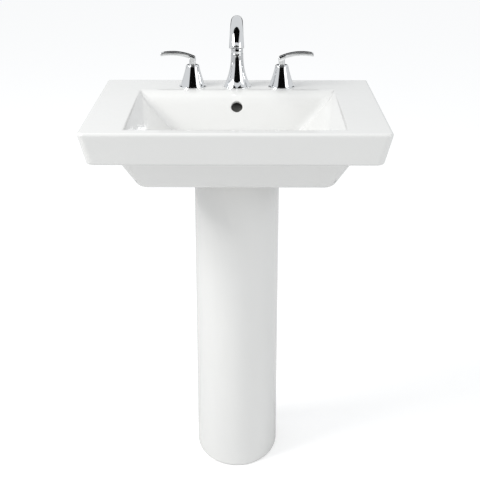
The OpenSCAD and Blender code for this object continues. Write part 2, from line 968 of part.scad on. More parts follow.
module drain_flange() {
    color("silver")
        at_drain()
            rotate_extrude()
                polygon([
                    [drain_bore_d / 2, -drain_tube_depth], [drain_bore_d / 2 + drain_wall, -drain_tube_depth],
                    [drain_bore_d / 2 + drain_wall, 0], [drain_flange_d / 2, 0],
                    [drain_flange_d / 2 - 1, flange_plate_t / 2],
                    [drain_bore_d / 2 + 5, flange_plate_t], [drain_bore_d / 2 + 3, flange_plate_t],
                    [drain_bore_d / 2, flange_plate_t / 2]
                ]);
}

module drain_body() {
    bottom = -drain_tube_depth - drain_body_len;
    color("silver")
        at_drain()
            difference() {
                union() {
                    translate([0, 0, bottom])
                        cylinder(h = drain_tube_depth + drain_body_len - 4, r = body_r);
                    translate([0, 0, pivot_z])
                        rotate([-90, 0, 0])
                            cylinder(h = pivot_arm + ball_d, r = port_d / 2);
                }
                translate([0, 0, bottom - 1])
                    cylinder(h = drain_tube_depth + drain_body_len, r = drain_bore_d / 2);
                translate([0, 0, -drain_tube_depth])
                    cylinder(h = drain_tube_depth, r = drain_bore_d / 2 + drain_wall);
                translate([0, 0, bottom - 1])
                    cylinder(h = beyond, r = pipe_d / 2 + thread_gap);
                translate([0, 0, pivot_z])
                    rotate([-90, 0, 0])
                        cylinder(h = pivot_arm, r = ball_d / 2);
                translate([0, pivot_arm - ball_d / 2 - 1, pivot_z])
                    rotate([-90, 0, 0])
                        cylinder(h = 2 * ball_d, r = port_d / 2 - drain_wall);
                for (a = [0, 180])
                    rotate([0, 0, a])
                        translate([0, 0, -(body_h - bowl_depth) / 2 - 3])
                            rotate([-90, 0, 0])
                                cylinder(h = drain_hole_d, r = 4);
            }
}

module drain_gasket() {
    taper = 5;
    color("dimgray")
        at_drain()
            translate([0, 0, bowl_depth - body_h])
                rotate([180, 0, 0])
                    difference() {
                        cylinder(h = beyond / 2, r1 = drain_hole_d / 2 + taper, r2 = drain_hole_d / 2 + taper + 2);
                        translate([0, 0, -1])
                            cylinder(h = beyond / 2 + 2, r = body_r + thread_gap);
                    }
}

module drain_washer() {
    color("silver")
        at_drain()
            translate([0, 0, bowl_depth - body_h - beyond / 2 - washer_t])
                ring(drain_hole_d / 2 + 6, body_r + thread_gap, washer_t);
}

module drain_locknut() {
    color("goldenrod")
        at_drain()
            translate([0, 0, bowl_depth - body_h - beyond / 2 - washer_t - locknut_t])
                nut(2 * body_r + 12, body_r + thread_gap, locknut_t);
}

module at_pivot() {
    at_drain()
        translate([0, pivot_arm, pivot_z])
            children();
}

module pivot_seat() {
    color("ivory")
        at_pivot()
            rotate([-90, 0, 0])
                translate([0, 0, ball_d / 2 + gap])
                    ring(port_d / 2 - drain_wall - thread_gap, ball_d / 2 - 1, ball_d / 2 - gap);
}

module pivot_nut() {
    color("silver")
        at_pivot()
            rotate([-90, 0, 0])
                translate([0, 0, ball_d / 2])
                    difference() {
                        cylinder(h = ball_d / 2 + 3, r = port_d / 2 + 2.5, $fn = 12);
                        translate([0, 0, -1])
                            cylinder(h = ball_d / 2 + 1, r = port_d / 2);
                        cylinder(h = ball_d, r = ball_d / 2 - 1);
                    }
}

// Length of the pivot rod from its ball to the strap on the lift rod
pivot_reach = tap_y + rod_offset - drain_y - pivot_arm;

module pivot_rod() {
    color("silver")
        at_pivot()
            rotate([-pivot_drop, 0, 0]) {
                sphere(r = ball_d / 2 - gap);
                translate([0, -pivot_arm - 3, 0])
                    rotate([-90, 0, 0])
                        cylinder(h = pivot_reach + pivot_arm + 15, r = pin_d / 2);
            }
}

module spring_clip() {
    out = strap_t / 2 + 2;
    bow_x = strap_w / 2 + 3;
    color("gray")
        at_pivot()
            rotate([-pivot_drop, 0, 0])
                translate([0, pivot_reach, 0])
                    difference() {
                        union() {
                            for (y = [-out - 0.8, out])
                                translate([-pin_d, y, -pin_d])
                                    cube([pin_d + bow_x + 1, 0.8, 2 * pin_d]);
                            translate([bow_x, -out, -pin_d])
                                cube([1, 2 * out, 2 * pin_d]);
                        }
                        translate([0, -2 * out, 0])
                            rotate([-90, 0, 0])
                                cylinder(h = 4 * out, r = pin_d / 2);
                    }
}

// ---------------------------------------------------------------- lift rod

knob_bottom = 60;
knob_r = 6;
rod_bottom = -96;
strap_top = rod_bottom + 20;
strap_hole_z = -pivot_depth - pivot_reach * sin(pivot_drop);

module at_rod() {
    at_tap(0)
        translate([0, rod_offset, 0])
            children();
}

module lift_knob() {
    color("silver")
        at_rod()
            translate([0, 0, knob_bottom])
                rotate_extrude()
                    polygon(concat(
                        [[0, 0], [knob_r * 0.6, 0], [knob_r * 0.6, 3]],
                        [for (a = [-50 : 10 : 80]) [knob_r * cos(a), 8 + knob_r * sin(a)]],
                        [[0, 8 + knob_r]]
                    ));
}

module lift_rod() {
    color("silver")
        at_rod()
            translate([0, 0, rod_bottom])
                cylinder(h = knob_bottom - rod_bottom, r = rod_d / 2);
}

// The flat strap with its row of holes, and the block that clamps it to the rod
module clevis() {
    hole_step = 11;
    strap_end = strap_hole_z - 2.6 * hole_step;
    color("silver")
        at_rod() {
            difference() {
                translate([-strap_w / 2, -strap_t / 2, strap_end])
                    cube([strap_w, strap_t, strap_top - 24 - strap_end]);
                for (i = [-2 : 3])
                    translate([0, -strap_t, strap_hole_z + hole_step * i])
                        rotate([-90, 0, 0])
                            cylinder(h = 2 * strap_t, r = pin_d / 2 + 2 * gap);
            }
            difference() {
                translate([-strap_w / 2, -strap_w / 2, strap_top - 24])
                    cube([strap_w, strap_w, 24]);
                translate([0, 0, rod_bottom])
                    cylinder(h = 30, r = rod_d / 2);
                translate([0, 0, strap_top - 12])
                    rotate([-90, 0, 0])
                        cylinder(h = strap_w, r = 2);
            }
        }
}

module clevis_screw() {
    color("goldenrod")
        at_rod()
            translate([0, rod_d / 2, strap_top - 12])
                rotate([-90, 0, 0]) {
                    cylinder(h = strap_w / 2, r = 2);
                    translate([0, 0, strap_w / 2])
                        cylinder(h = 4, r = 5);
                }
}

// ---------------------------------------------------------------- stopper

// The closed stopper rests on the flange; it is drawn raised by its lift
module at_stopper() {
    at_drain()
        translate([0, 0, flange_plate_t + gap + stopper_lift])
            children();
}

cap_r = drain_bore_d / 2 + 2.5;
cap_t = 2;
seal_t = 3;

module stopper() {
    eye_z = pivot_z + pivot_arm * sin(pivot_drop) - flange_plate_t - gap - stopper_lift;
    dome_r = 60;
    dome_h = dome_r - sqrt(dome_r * dome_r - cap_r * cap_r);
    color("silver")
        at_stopper() {
            rotate_extrude()
                polygon(concat(
                    [[0, 0], [cap_r - 0.5, 0], [cap_r, 0.5]],
                    [for (i = [8 : -1 : 0]) [cap_r * i / 8,
                        cap_t + dome_h - dome_r + sqrt(dome_r * dome_r - pow(cap_r * i / 8, 2))]]
                ));
            difference() {
                union() {
                    translate([0, 0, eye_z + pin_d])
                        cylinder(h = -eye_z - pin_d + 0.5, r = 4);
                    for (a = [0, 90])
                        rotate([0, 0, a])
                            translate([-drain_bore_d / 2 + 1.5, -0.8, -45])
                                cube([drain_bore_d - 3, 1.6, 32]);
                    translate([-5.5, -2, eye_z - 7])
                        cube([11, 4, 14]);
                }
                translate([0, -5, eye_z])
                    rotate([-90, 0, 0])
                        cylinder(h = 10, r = pin_d / 2 + 2 * gap);
            }
        }
}

module stopper_seal() {
    color("dimgray")
        at_stopper()
            translate([0, 0, -seal_t])
                ring(drain_bore_d / 2 - 2 * gap, 4, seal_t);
}

// ---------------------------------------------------------------- tailpiece and trap

bend_r = pipe_d / 2 + 3;
bend_bore = pipe_d / 2 + thread_gap;
bend_z = outlet_h - 2 * trap_r - 5;
inlet_leg = 45;
outlet_leg = 34;
body_bottom = rim_h - bowl_depth - drain_tube_depth - drain_body_len;

module tailpiece() {
    bottom = bend_z + inlet_leg - 22;
    color("silver")
        translate([0, drain_y, bottom])
            ring(pipe_d / 2, pipe_d / 2 - pipe_t, body_bottom + beyond - 1 - bottom);
}

// The U-bend's run: two legs and the half turn between them
module bend_run(r, past_ends) {
    rotate([180, 0, 0])
        pipe_bend(trap_r, r, 180);
    translate([0, -trap_r, 0])
        cylinder(h = inlet_leg + past_ends, r = r);
    translate([0, trap_r, 0])
        cylinder(h = outlet_leg + past_ends, r = r);
}

// The U-bend that holds the water seal
module trap_bend() {
    color("silver")
        translate([0, drain_y + trap_r, bend_z])
            difference() {
                bend_run(bend_r, 0);
                bend_run(bend_bore, 1);
            }
}

// A slip nut over the end of a leg; the leg ends at height 0
module slip_nut() {
    difference() {
        translate([0, 0, -12])
            cylinder(h = 22, r = bend_r + 4, $fn = 12);
        translate([0, 0, -13])
            cylinder(h = 13 + 4, r = bend_r);
        translate([0, 0, -1])
            cylinder(h = 12, r = bend_bore);
    }
}

module slip_washer() {
    ring(bend_r, pipe_d / 2, 4);
}

module at_trap_inlet() {
    translate([0, drain_y, bend_z + inlet_leg])
        children();
}

module at_trap_outlet() {
    translate([0, drain_y + 2 * trap_r, bend_z + outlet_leg])
        children();
}

// The arm's run: up from the U-bend, round a quarter turn and back to the wall
module arm_run(r, past_ends) {
    from_z = bend_z + outlet_leg - 20;
    turn_z = outlet_h - trap_r;
    turn_y = drain_y + 3 * trap_r;
    translate([0, turn_y - trap_r, from_z - past_ends])
        cylinder(h = turn_z - from_z + past_ends, r = r);
    translate([0, turn_y, turn_z])
        rotate([90, 0, 0])
            pipe_bend(trap_r, r, 90);
    translate([0, turn_y, outlet_h])
        rotate([-90, 0, 0])
            cylinder(h = wall_y - turn_y + past_ends, r = r);
}

module trap_arm() {
    color("silver")
        difference() {
            arm_run(pipe_d / 2, 0);
            arm_run(pipe_d / 2 - pipe_t, 1);
        }
}

// ---------------------------------------------------------------- nodes

basin();
pedestal();
spout_base();
spout_gasket();
spout_shank();
spout_washer();
spout_nut();
bell(-1);  // hot_bell
valve(-1);  // hot_valve
cartridge(-1);  // hot_cartridge
bonnet(-1);  // hot_bonnet
valve_washer(-1);  // hot_washer
valve_nut(-1);  // hot_nut
bell(1);  // cold_bell
valve(1);  // cold_valve
cartridge(1);  // cold_cartridge
bonnet(1);  // cold_bonnet
valve_washer(1);  // cold_washer
valve_nut(1);  // cold_nut
hose(-1);  // hot_hose
hose(1);  // cold_hose
hose_nuts();
drain_flange();
drain_body();
drain_gasket();
drain_washer();
drain_locknut();
pivot_seat();
pivot_nut();
tailpiece();
trap_bend();
color("silver") at_trap_inlet() slip_nut();  // trap_inlet_nut
color("ivory") at_trap_inlet() slip_washer();  // trap_inlet_washer
color("silver") at_trap_outlet() slip_nut();  // trap_outlet_nut
color("ivory") at_trap_outlet() slip_washer();  // trap_outlet_washer
trap_arm();
spout();
spout_ring();
aerator();
aerator_screen();
handle(-1);  // hot_handle
stem(-1);  // hot_stem
set_screw(-1);  // hot_screw
handle(1);  // cold_handle
stem(1);  // cold_stem
set_screw(1);  // cold_screw
lift_knob();
lift_rod();
clevis();
clevis_screw();
pivot_rod();
spring_clip();
stopper();
stopper_seal();
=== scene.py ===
"""Looks of a pedestal sink: a glazed china basin and column with a three-hole chrome tap set."""
import math

import bmesh
import bpy
import numpy as np
from mathutils import Matrix, Vector


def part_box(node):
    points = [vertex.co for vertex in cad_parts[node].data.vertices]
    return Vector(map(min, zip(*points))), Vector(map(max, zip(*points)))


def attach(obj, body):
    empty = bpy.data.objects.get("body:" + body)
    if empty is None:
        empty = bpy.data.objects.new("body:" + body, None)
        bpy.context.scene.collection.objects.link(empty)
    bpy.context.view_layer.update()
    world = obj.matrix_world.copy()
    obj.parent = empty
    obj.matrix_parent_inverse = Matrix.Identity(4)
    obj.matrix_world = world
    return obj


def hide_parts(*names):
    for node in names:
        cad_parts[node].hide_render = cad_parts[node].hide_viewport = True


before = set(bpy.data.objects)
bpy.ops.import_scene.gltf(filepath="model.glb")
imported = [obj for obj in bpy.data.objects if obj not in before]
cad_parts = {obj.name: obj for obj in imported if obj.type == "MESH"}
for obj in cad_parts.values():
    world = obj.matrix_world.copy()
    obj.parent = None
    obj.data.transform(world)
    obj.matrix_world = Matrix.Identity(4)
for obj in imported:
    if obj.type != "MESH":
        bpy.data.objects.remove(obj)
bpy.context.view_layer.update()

mm = 0.001

# ---------------------------------------------------------------- sizes

basin_low, basin_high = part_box("basin")
column_low, column_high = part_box("pedestal")
bell_low, bell_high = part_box("cold_bell")
rim_z = basin_high.z
front_y = basin_low.y
wall_y = basin_high.y
half_w = basin_high.x
tap_y = (bell_low.y + bell_high.y) / 2
tap_x = (bell_low.x + bell_high.x) / 2
flange_r = (bell_high.x - bell_low.x) / 2
column_h = column_high.z
column_half_w = column_high.x
column_back_y = column_high.y
column_front_y = column_low.y
flange_low, flange_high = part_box("drain_flange")
drain_y = (flange_low.y + flange_high.y) / 2

slab_h = 66 * mm
body_h = rim_z - basin_low.z
side_taper = 13.5 / 55
front_taper = 9 / 55
edge_r = 7 * mm
china_t = 12 * mm
deck_t = 16 * mm
bowl_half_w = half_w - 87 * mm
bowl_front_y = front_y + 32 * mm
bowl_depth = 122 * mm
side_steep = 1 / 1.05
front_steep = 1 / 0.72
back_angle = math.radians(54.5)
foot_angle = math.radians(78)
deck_bend_r = 60 * mm
knee_depth = 73 * mm
deck_edge_y = wall_y - 108 * mm
upper_wall_y = deck_edge_y - deck_bend_r * math.tan(back_angle / 2)
knee_y = upper_wall_y - knee_depth / math.tan(back_angle)
foot_y = knee_y - (bowl_depth - knee_depth) / math.tan(foot_angle)
overflow_depth = 28 * mm
overflow_r = 12.5 * mm
overflow_y = upper_wall_y - overflow_depth / math.tan(back_angle)
duct_t = 10 * mm
duct_half_w = 18 * mm
column_nose = 140 * mm
column_t = 13 * mm
lip_w = 16 * mm
lug_y = drain_y + 80 * mm
gap = 0.3 * mm
apron_in_side = 62 * mm
apron_in_front = 60 * mm
apron_side_slope = 0.49
apron_front_slope = 0.79
tap_hole_r = 16 * mm
spout_hole_r = 17.5 * mm
spout_hole_back = 8.5 * mm
drain_hole_r = 22.5 * mm
wall_bolt_x = 140 * mm
wall_bolt_r = 6 * mm
floor_bolt_r = 5 * mm
hose_r = 5.2 * mm
hose_pull = 26 * mm
hose_steps = 48


# ---------------------------------------------------------------- making meshes

def mesh_piece(name, points, faces, material, body, nodes=(), sharp=30, normals=None, turn_out=True):
    """A piece from points and faces, with its doubles merged and its faces turned outwards."""
    data = bpy.data.meshes.new(name)
    data.from_pydata([tuple(p) for p in points], [], [tuple(int(i) for i in f) for f in faces])
    if turn_out:
        work = bmesh.new()
        work.from_mesh(data)
        bmesh.ops.remove_doubles(work, verts=work.verts, dist=1e-6)
        bmesh.ops.dissolve_degenerate(work, edges=work.edges, dist=1e-7)
        bmesh.ops.recalc_face_normals(work, faces=work.faces)
        work.to_mesh(data)
        work.free()
    data.validate()
    data.polygons.foreach_set("use_smooth", [True] * len(data.polygons))
    if normals is not None:
        data.normals_split_custom_set_from_vertices(normals)
    elif sharp:
        data.set_sharp_from_angle(angle=math.radians(sharp))
    piece = bpy.data.objects.new(name, data)
    bpy.context.scene.collection.objects.link(piece)
    return dress(piece, material, body, nodes)


def dress(piece, material, body, nodes=()):
    """Gives a finished piece its material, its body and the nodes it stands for."""
    if material:
        piece.data.materials.clear()
        piece.data.materials.append(material)
    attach(piece, body)
    if nodes:
        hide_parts(*nodes)
    return piece


def lines(*stretches):
    """Grid lines along stretches of (start, end, step): close together where a shape turns tightly."""
    found = []
    for start, end, step in stretches:
        n = max(1, round((end - start) / step))
        found += [start + (end - start) * i / n for i in range(n)]
    return np.array(found + [stretches[-1][1]])


def mirrored_lines(*stretches):
    """The same lines on both sides of zero; the stretches start at zero."""
    right = lines(*stretches)
    return np.concatenate([-right[:0:-1], right])


def cast(field, xs, ys, zs, reach=1.5 * mm, rounds=5):
    """A closed skin round the places where field(x, y, z) is negative: points, four-sided faces, normals."""
    grid = (xs, ys, zs)
    place = np.stack(np.meshgrid(*grid, indexing="ij"), -1)
    value = field(*np.moveaxis(place, -1, 0))
    inside = value < 0
    total = np.zeros([len(g) - 1 for g in grid] + [3])
    count = np.zeros(total.shape[:3])
    cuts = []
    for axis in range(3):
        near = tuple(slice(0, -1) if a == axis else slice(None) for a in range(3))
        far = tuple(slice(1, None) if a == axis else slice(None) for a in range(3))
        cut = inside[near] != inside[far]
        share = np.where(cut, value[near] / np.where(cut, value[near] - value[far], 1), 0)
        point = place[near] + share[..., None] * (place[far] - place[near])
        others = [a for a in range(3) if a != axis]
        for back_a in (0, 1):
            for back_b in (0, 1):
                edges, cells = [slice(None)] * 3, [slice(None)] * 3
                for other, back in zip(others, (back_a, back_b)):
                    edges[other] = slice(back, len(grid[other]) - 1 + back)
                    cells[other] = slice(0, len(grid[other]) - 1)
                edges, cells = tuple(edges), tuple(cells)
                total[cells] += np.where(cut[edges][..., None], point[edges], 0)
                count[cells] += cut[edges]
        cuts.append((axis, others, cut, inside[near]))
    used = count > 0
    number = np.full(used.shape, -1)
    number[used] = np.arange(used.sum())
    points = total[used] / count[used][:, None]
    faces = []
    for axis, others, cut, full in cuts:
        at = np.argwhere(cut)
        for other in others:
            at = at[(at[:, other] > 0) & (at[:, other] < len(grid[other]) - 1)]
        corners = []
        for back_a, back_b in ((1, 1), (0, 1), (0, 0), (1, 0)):
            cell = at.copy()
            cell[:, others[0]] -= back_a
            cell[:, others[1]] -= back_b
            corners.append(number[tuple(cell.T)])
        quads = np.stack(corners, -1)
        outward = full[tuple(at.T)] != (axis == 1)
        quads[~outward] = quads[~outward][:, ::-1]
        faces.append(quads)
    for _ in range(rounds):
        slope = gradient(field, points)
        step = -field(*points.T)[:, None] * slope / np.maximum((slope ** 2).sum(1), 1e-3)[:, None]
        length = np.linalg.norm(step, axis=1)[:, None]
        points = points + step * np.minimum(1, reach / np.maximum(length, 1e-12))
    slope = gradient(field, points)
    normals = slope / np.maximum(np.linalg.norm(slope, axis=1), 1e-9)[:, None]
    return points, np.concatenate(faces), normals


def gradient(field, points, e=0.05 * mm):
    found = []
    for axis in range(3):
        off = np.zeros(3)
        off[axis] = e
        found.append((field(*(points + off).T) - field(*(points - off).T)) / (2 * e))
    return np.stack(found, -1)


def both(a, b, r):
    """The overlap of two fields, their common edge rounded to r."""
    return np.minimum(np.maximum(a, b) + r, 0) + np.hypot(np.maximum(a + r, 0), np.maximum(b + r, 0)) - r


def either(a, b, r):
    """Two fields joined, with a fillet of r between them."""
    return -both(-a, -b, r)


def soft_min(a, b, k):
    """The lower of two heights, blended over k, and over less where they run out to nothing."""
    k = np.clip(np.minimum(a, b) * 1.2, 1e-9, k)
    h = np.maximum(k - np.abs(a - b), 0) / k
    return np.minimum(a, b) - h * h * k / 4


def soft_max(a, b, k):
    h = np.maximum(k - np.abs(a - b), 0) / k
    return np.maximum(a, b) + h * h * k / 4


def fall(t, angle, r):
    """Depth of a slope that starts at t = 0 from level ground, its upper edge rounded to r."""
    run = r * math.tan(angle / 2)
    on_arc = r - np.sqrt(np.maximum(r * r - np.clip(t + run, 0, r * math.sin(angle)) ** 2, 0))
    return np.where(t > run * math.cos(angle), t * math.tan(angle), on_arc)


def turned(profile, sides=96):
    """Points and faces of a closed outline of (radius, height), turned round the z axis."""
    n = len(profile)
    points = [
        (r * math.cos(a), r * math.sin(a), z)
        for a in (2 * math.pi * k / sides for k in range(sides))
        for r, z in profile
    ]
    faces = [
        (k * n + i, ((k + 1) % sides) * n + i, ((k + 1) % sides) * n + (i + 1) % n, k * n + (i + 1) % n)
        for k in range(sides)
        for i in range(n)
    ]
    return points, faces


def arc(cx, cz, r, start, end, steps=6):
    """Points on an arc, from one angle to another in degrees."""
    angles = (math.radians(start + (end - start) * i / steps) for i in range(steps + 1))
    return [(cx + r * math.cos(a), cz + r * math.sin(a)) for a in angles]


def moved(points, to, turn=None):
    turn = turn or Matrix.Identity(3)
    return [turn @ Vector(p) + Vector(to) for p in points]


def sleeve(path, side, r_out, r_in, sides=64, lip=0.6 * mm):
    """A pipe along a flat path whose plane has the normal side, with rounded lips at both ends."""
    path = [Vector(p) for p in path]
    last = len(path) - 1
    side = Vector(side)
    loops = []
    for i in range(last + 1):
        ahead = (path[min(i + 1, last)] - path[max(i - 1, 0)]).normalized()
        loops.append((path[i], ahead, side.cross(ahead).normalized()))

    def loop(i, r, along=0.0):
        centre, ahead, out = loops[i]
        angles = (2 * math.pi * k / sides for k in range(sides))
        return [centre + ahead * along + r * (side * math.cos(a) + out * math.sin(a)) for a in angles]

    rows = [loop(0, r_out[0] - lip, 0), loop(0, r_out[0] - lip * 0.3, lip * 0.3)]
    rows += [loop(i, r_out[i], lip if i == 0 else -lip if i == last else 0) for i in range(last + 1)]
    rows += [loop(last, r_out[last] - lip * 0.3, -lip * 0.3), loop(last, r_out[last] - lip, 0)]
    rows += [loop(last, r_in[last] + lip, 0), loop(last, r_in[last] + lip * 0.3, -lip * 0.3)]
    rows += [loop(i, r_in[i], lip if i == 0 else -lip if i == last else 0) for i in range(last, -1, -1)]
    rows += [loop(0, r_in[0] + lip * 0.3, lip * 0.3), loop(0, r_in[0] + lip, 0)]
    points = [p for row in rows for p in row]
    n = len(rows)
    faces = [
        (
            i * sides + k, i * sides + (k + 1) % sides,
            ((i + 1) % n) * sides + (k + 1) % sides, ((i + 1) % n) * sides + k,
        )
        for i in range(n)
        for k in range(sides)
    ]
    return points, faces


# ---------------------------------------------------------------- materials

def put(tree, kind, inputs=None, **settings):
    """A node with its settings, and its inputs given as values or as another node's outputs."""
    made = tree.nodes.new(kind)
    for key, value in settings.items():
        setattr(made, key, value)
    for key, value in (inputs or {}).items():
        if isinstance(value, bpy.types.NodeSocket):
            tree.links.new(value, made.inputs[key])
        else:
            made.inputs[key].default_value = value
    return made


def shader_group(name, inputs, outputs):
    tree = bpy.data.node_groups.new(name, "ShaderNodeTree")
    for label, value in inputs.items():
        socket = tree.interface.new_socket(label, in_out="INPUT", socket_type="NodeSocketFloat")
        socket.default_value = value
    for label in outputs:
        tree.interface.new_socket(label, in_out="OUTPUT", socket_type="NodeSocketFloat")
    return tree, tree.nodes.new("NodeGroupInput").outputs, tree.nodes.new("NodeGroupOutput").inputs


def make_cloudiness():
    """Slow and fine unevenness that every finish has a little of."""
    tree, given, out = shader_group("cloudiness", {"Slow": 8.0, "Fine": 90.0}, ("Slow", "Fine", "Height"))
    where = put(tree, "ShaderNodeTexCoord").outputs["Object"]
    slow = put(tree, "ShaderNodeTexNoise", {"Vector": where, "Scale": given["Slow"], "Detail": 2.0})
    fine = put(tree, "ShaderNodeTexNoise", {"Vector": where, "Scale": given["Fine"], "Detail": 4.0})
    both_heights = put(tree, "ShaderNodeMath", {0: slow.outputs["Fac"], 1: fine.outputs["Fac"]}, operation="ADD")
    tree.links.new(slow.outputs["Fac"], out["Slow"])
    tree.links.new(fine.outputs["Fac"], out["Fine"])
    tree.links.new(both_heights.outputs[0], out["Height"])
    return tree


def make_water_spots():
    """Small dried drops, as on every tap that has been used once."""
    tree, given, out = shader_group("water_spots", {"Scale": 260.0, "Cover": 0.3}, ("Mask",))
    where = put(tree, "ShaderNodeTexCoord").outputs["Object"]
    cells = put(tree, "ShaderNodeTexVoronoi", {"Vector": where, "Scale": given["Scale"]})
    drops = put(tree, "ShaderNodeMath", {0: given["Cover"], 1: cells.outputs["Distance"]}, operation="SUBTRACT")
    tree.links.new(put(tree, "ShaderNodeClamp", {"Value": drops.outputs[0]}).outputs[0], out["Mask"])
    return tree


def make_tool_marks():
    """Fine rings left by a lathe, as a height."""
    tree, given, out = shader_group("tool_marks", {"Scale": 500.0}, ("Height",))
    where = put(tree, "ShaderNodeTexCoord").outputs["Object"]
    rings = put(
        tree, "ShaderNodeTexWave", {"Vector": where, "Scale": given["Scale"], "Distortion": 1.5},
        wave_type="BANDS", bands_direction="Z",
    )
    tree.links.new(rings.outputs["Fac"], out["Height"])
    return tree


cloudiness = make_cloudiness()
water_spots = make_water_spots()
tool_marks = make_tool_marks()


def material(name, dark, light, gloss, slow=8.0, fine=90.0, bump=0.02, depth=0.2 * mm, spots=0.0, marks=0.0, **fixed):
    """A finish between two colours, with roughness between two values in gloss, and a fine relief."""
    made = bpy.data.materials.new(name)
    made.use_nodes = True
    tree = made.node_tree
    shader = tree.nodes["Principled BSDF"]
    for key, value in fixed.items():
        shader.inputs[key.replace("_", " ")].default_value = value
    life = put(tree, "ShaderNodeGroup", node_tree=cloudiness)
    life.inputs["Slow"].default_value = slow
    life.inputs["Fine"].default_value = fine
    tint = put(tree, "ShaderNodeMix", {"Factor": life.outputs["Slow"]}, data_type="RGBA")
    tint.inputs[6].default_value = (*dark, 1)
    tint.inputs[7].default_value = (*light, 1)
    tree.links.new(tint.outputs[2], shader.inputs["Base Color"])
    rough = put(
        tree, "ShaderNodeMapRange",
        {"Value": life.outputs["Fine"], "From Min": 0.3, "From Max": 0.7, "To Min": gloss[0], "To Max": gloss[1]},
    ).outputs[0]
    if spots:
        drops = put(tree, "ShaderNodeGroup", node_tree=water_spots)
        rough = put(
            tree, "ShaderNodeMath", {0: drops.outputs["Mask"], 1: spots, 2: rough}, operation="MULTIPLY_ADD"
        ).outputs[0]
    tree.links.new(rough, shader.inputs["Roughness"])
    height = life.outputs["Height"]
    if marks:
        rings = put(tree, "ShaderNodeGroup", node_tree=tool_marks)
        rings.inputs["Scale"].default_value = marks
        height = rings.outputs["Height"]
    if bump:
        relief = put(tree, "ShaderNodeBump", {"Strength": bump, "Distance": depth, "Height": height})
        tree.links.new(relief.outputs[0], shader.inputs["Normal"])
    return made


glaze = material(
    "white_glaze", (0.80, 0.80, 0.785), (0.83, 0.83, 0.82), (0.10, 0.17), slow=5.0, fine=45.0, bump=0.06,
    IOR=1.52, Coat_Weight=0.25, Coat_Roughness=0.05,
)
biscuit = material(
    "bare_fired_clay", (0.62, 0.59, 0.53), (0.72, 0.69, 0.63), (0.75, 0.9), slow=30.0, fine=600.0, bump=0.35,
)
# painted shade: the clay inside the overflow duct is coloured near black so that the overflow hole reads dark; this
# colour stands in for the shade inside the duct, not for soot
duct_painted_shade = material(
    "duct_clay_painted_shade", (0.15, 0.147, 0.14), (0.21, 0.205, 0.195), (0.7, 0.9), slow=30.0, fine=500.0, bump=0.3,
)
chrome = material(
    "polished_chrome", (0.86, 0.87, 0.88), (0.90, 0.91, 0.92), (0.02, 0.05), slow=20.0, fine=240.0, bump=0.0,
    Metallic=1.0,
)
satin_chrome = material(
    "dull_chrome", (0.66, 0.67, 0.68), (0.76, 0.77, 0.78), (0.16, 0.26), slow=20.0, fine=240.0, bump=0.03,
    Metallic=1.0,
)
brass = material(
    "turned_brass", (0.62, 0.43, 0.17), (0.78, 0.58, 0.27), (0.22, 0.36), slow=40.0, bump=0.12, depth=0.1 * mm,
    marks=900.0, Metallic=1.0,
)
rubber = material(
    "black_rubber", (0.025, 0.025, 0.026), (0.05, 0.05, 0.05), (0.6, 0.8), slow=60.0, fine=900.0, bump=0.25,
)
nylon = material(
    "white_nylon", (0.74, 0.72, 0.66), (0.82, 0.80, 0.75), (0.35, 0.5), slow=40.0, fine=500.0, bump=0.08,
    Subsurface_Weight=0.08, Subsurface_Scale=1 * mm,
)
steel = material(
    "stainless_steel", (0.52, 0.52, 0.53), (0.66, 0.66, 0.67), (0.22, 0.34), slow=60.0, fine=700.0, bump=0.08,
    Metallic=1.0,
)

# ---------------------------------------------------------------- basin

def bowl(x, y):
    """Depth of the basin's upper side below the rim."""
    side = fall(bowl_half_w - np.abs(x), math.atan(side_steep), 9 * mm)
    front = fall(y - bowl_front_y, math.atan(front_steep), 7 * mm)
    upper = fall(upper_wall_y - y, back_angle, deck_bend_r)
    lower = knee_depth + (knee_y - y) * math.tan(foot_angle)
    back = soft_max(upper, lower, 7 * mm)
    away = np.hypot(x, y - drain_y)
    floor = bowl_depth - 0.02 * np.maximum(away - 32 * mm, 0)
    depth = soft_min(soft_min(side, back, 22 * mm), front, 13 * mm)
    return soft_min(depth, floor, 13 * mm)


def above_bowl(x, y, z):
    """Distance above the basin's upper side."""
    e = 0.2 * mm
    slope_x = (bowl(x + e, y) - bowl(x - e, y)) / (2 * e)
    slope_y = (bowl(x, y + e) - bowl(x, y - e)) / (2 * e)
    return (z - rim_z + bowl(x, y)) / np.sqrt(1 + slope_x ** 2 + slope_y ** 2)


def leaning(out, slope, down):
    """Distance past a wall that leans inwards by slope going down."""
    return (out + slope * down) / math.hypot(1, slope)


def rod(u, v, r):
    return np.hypot(u, v) - r


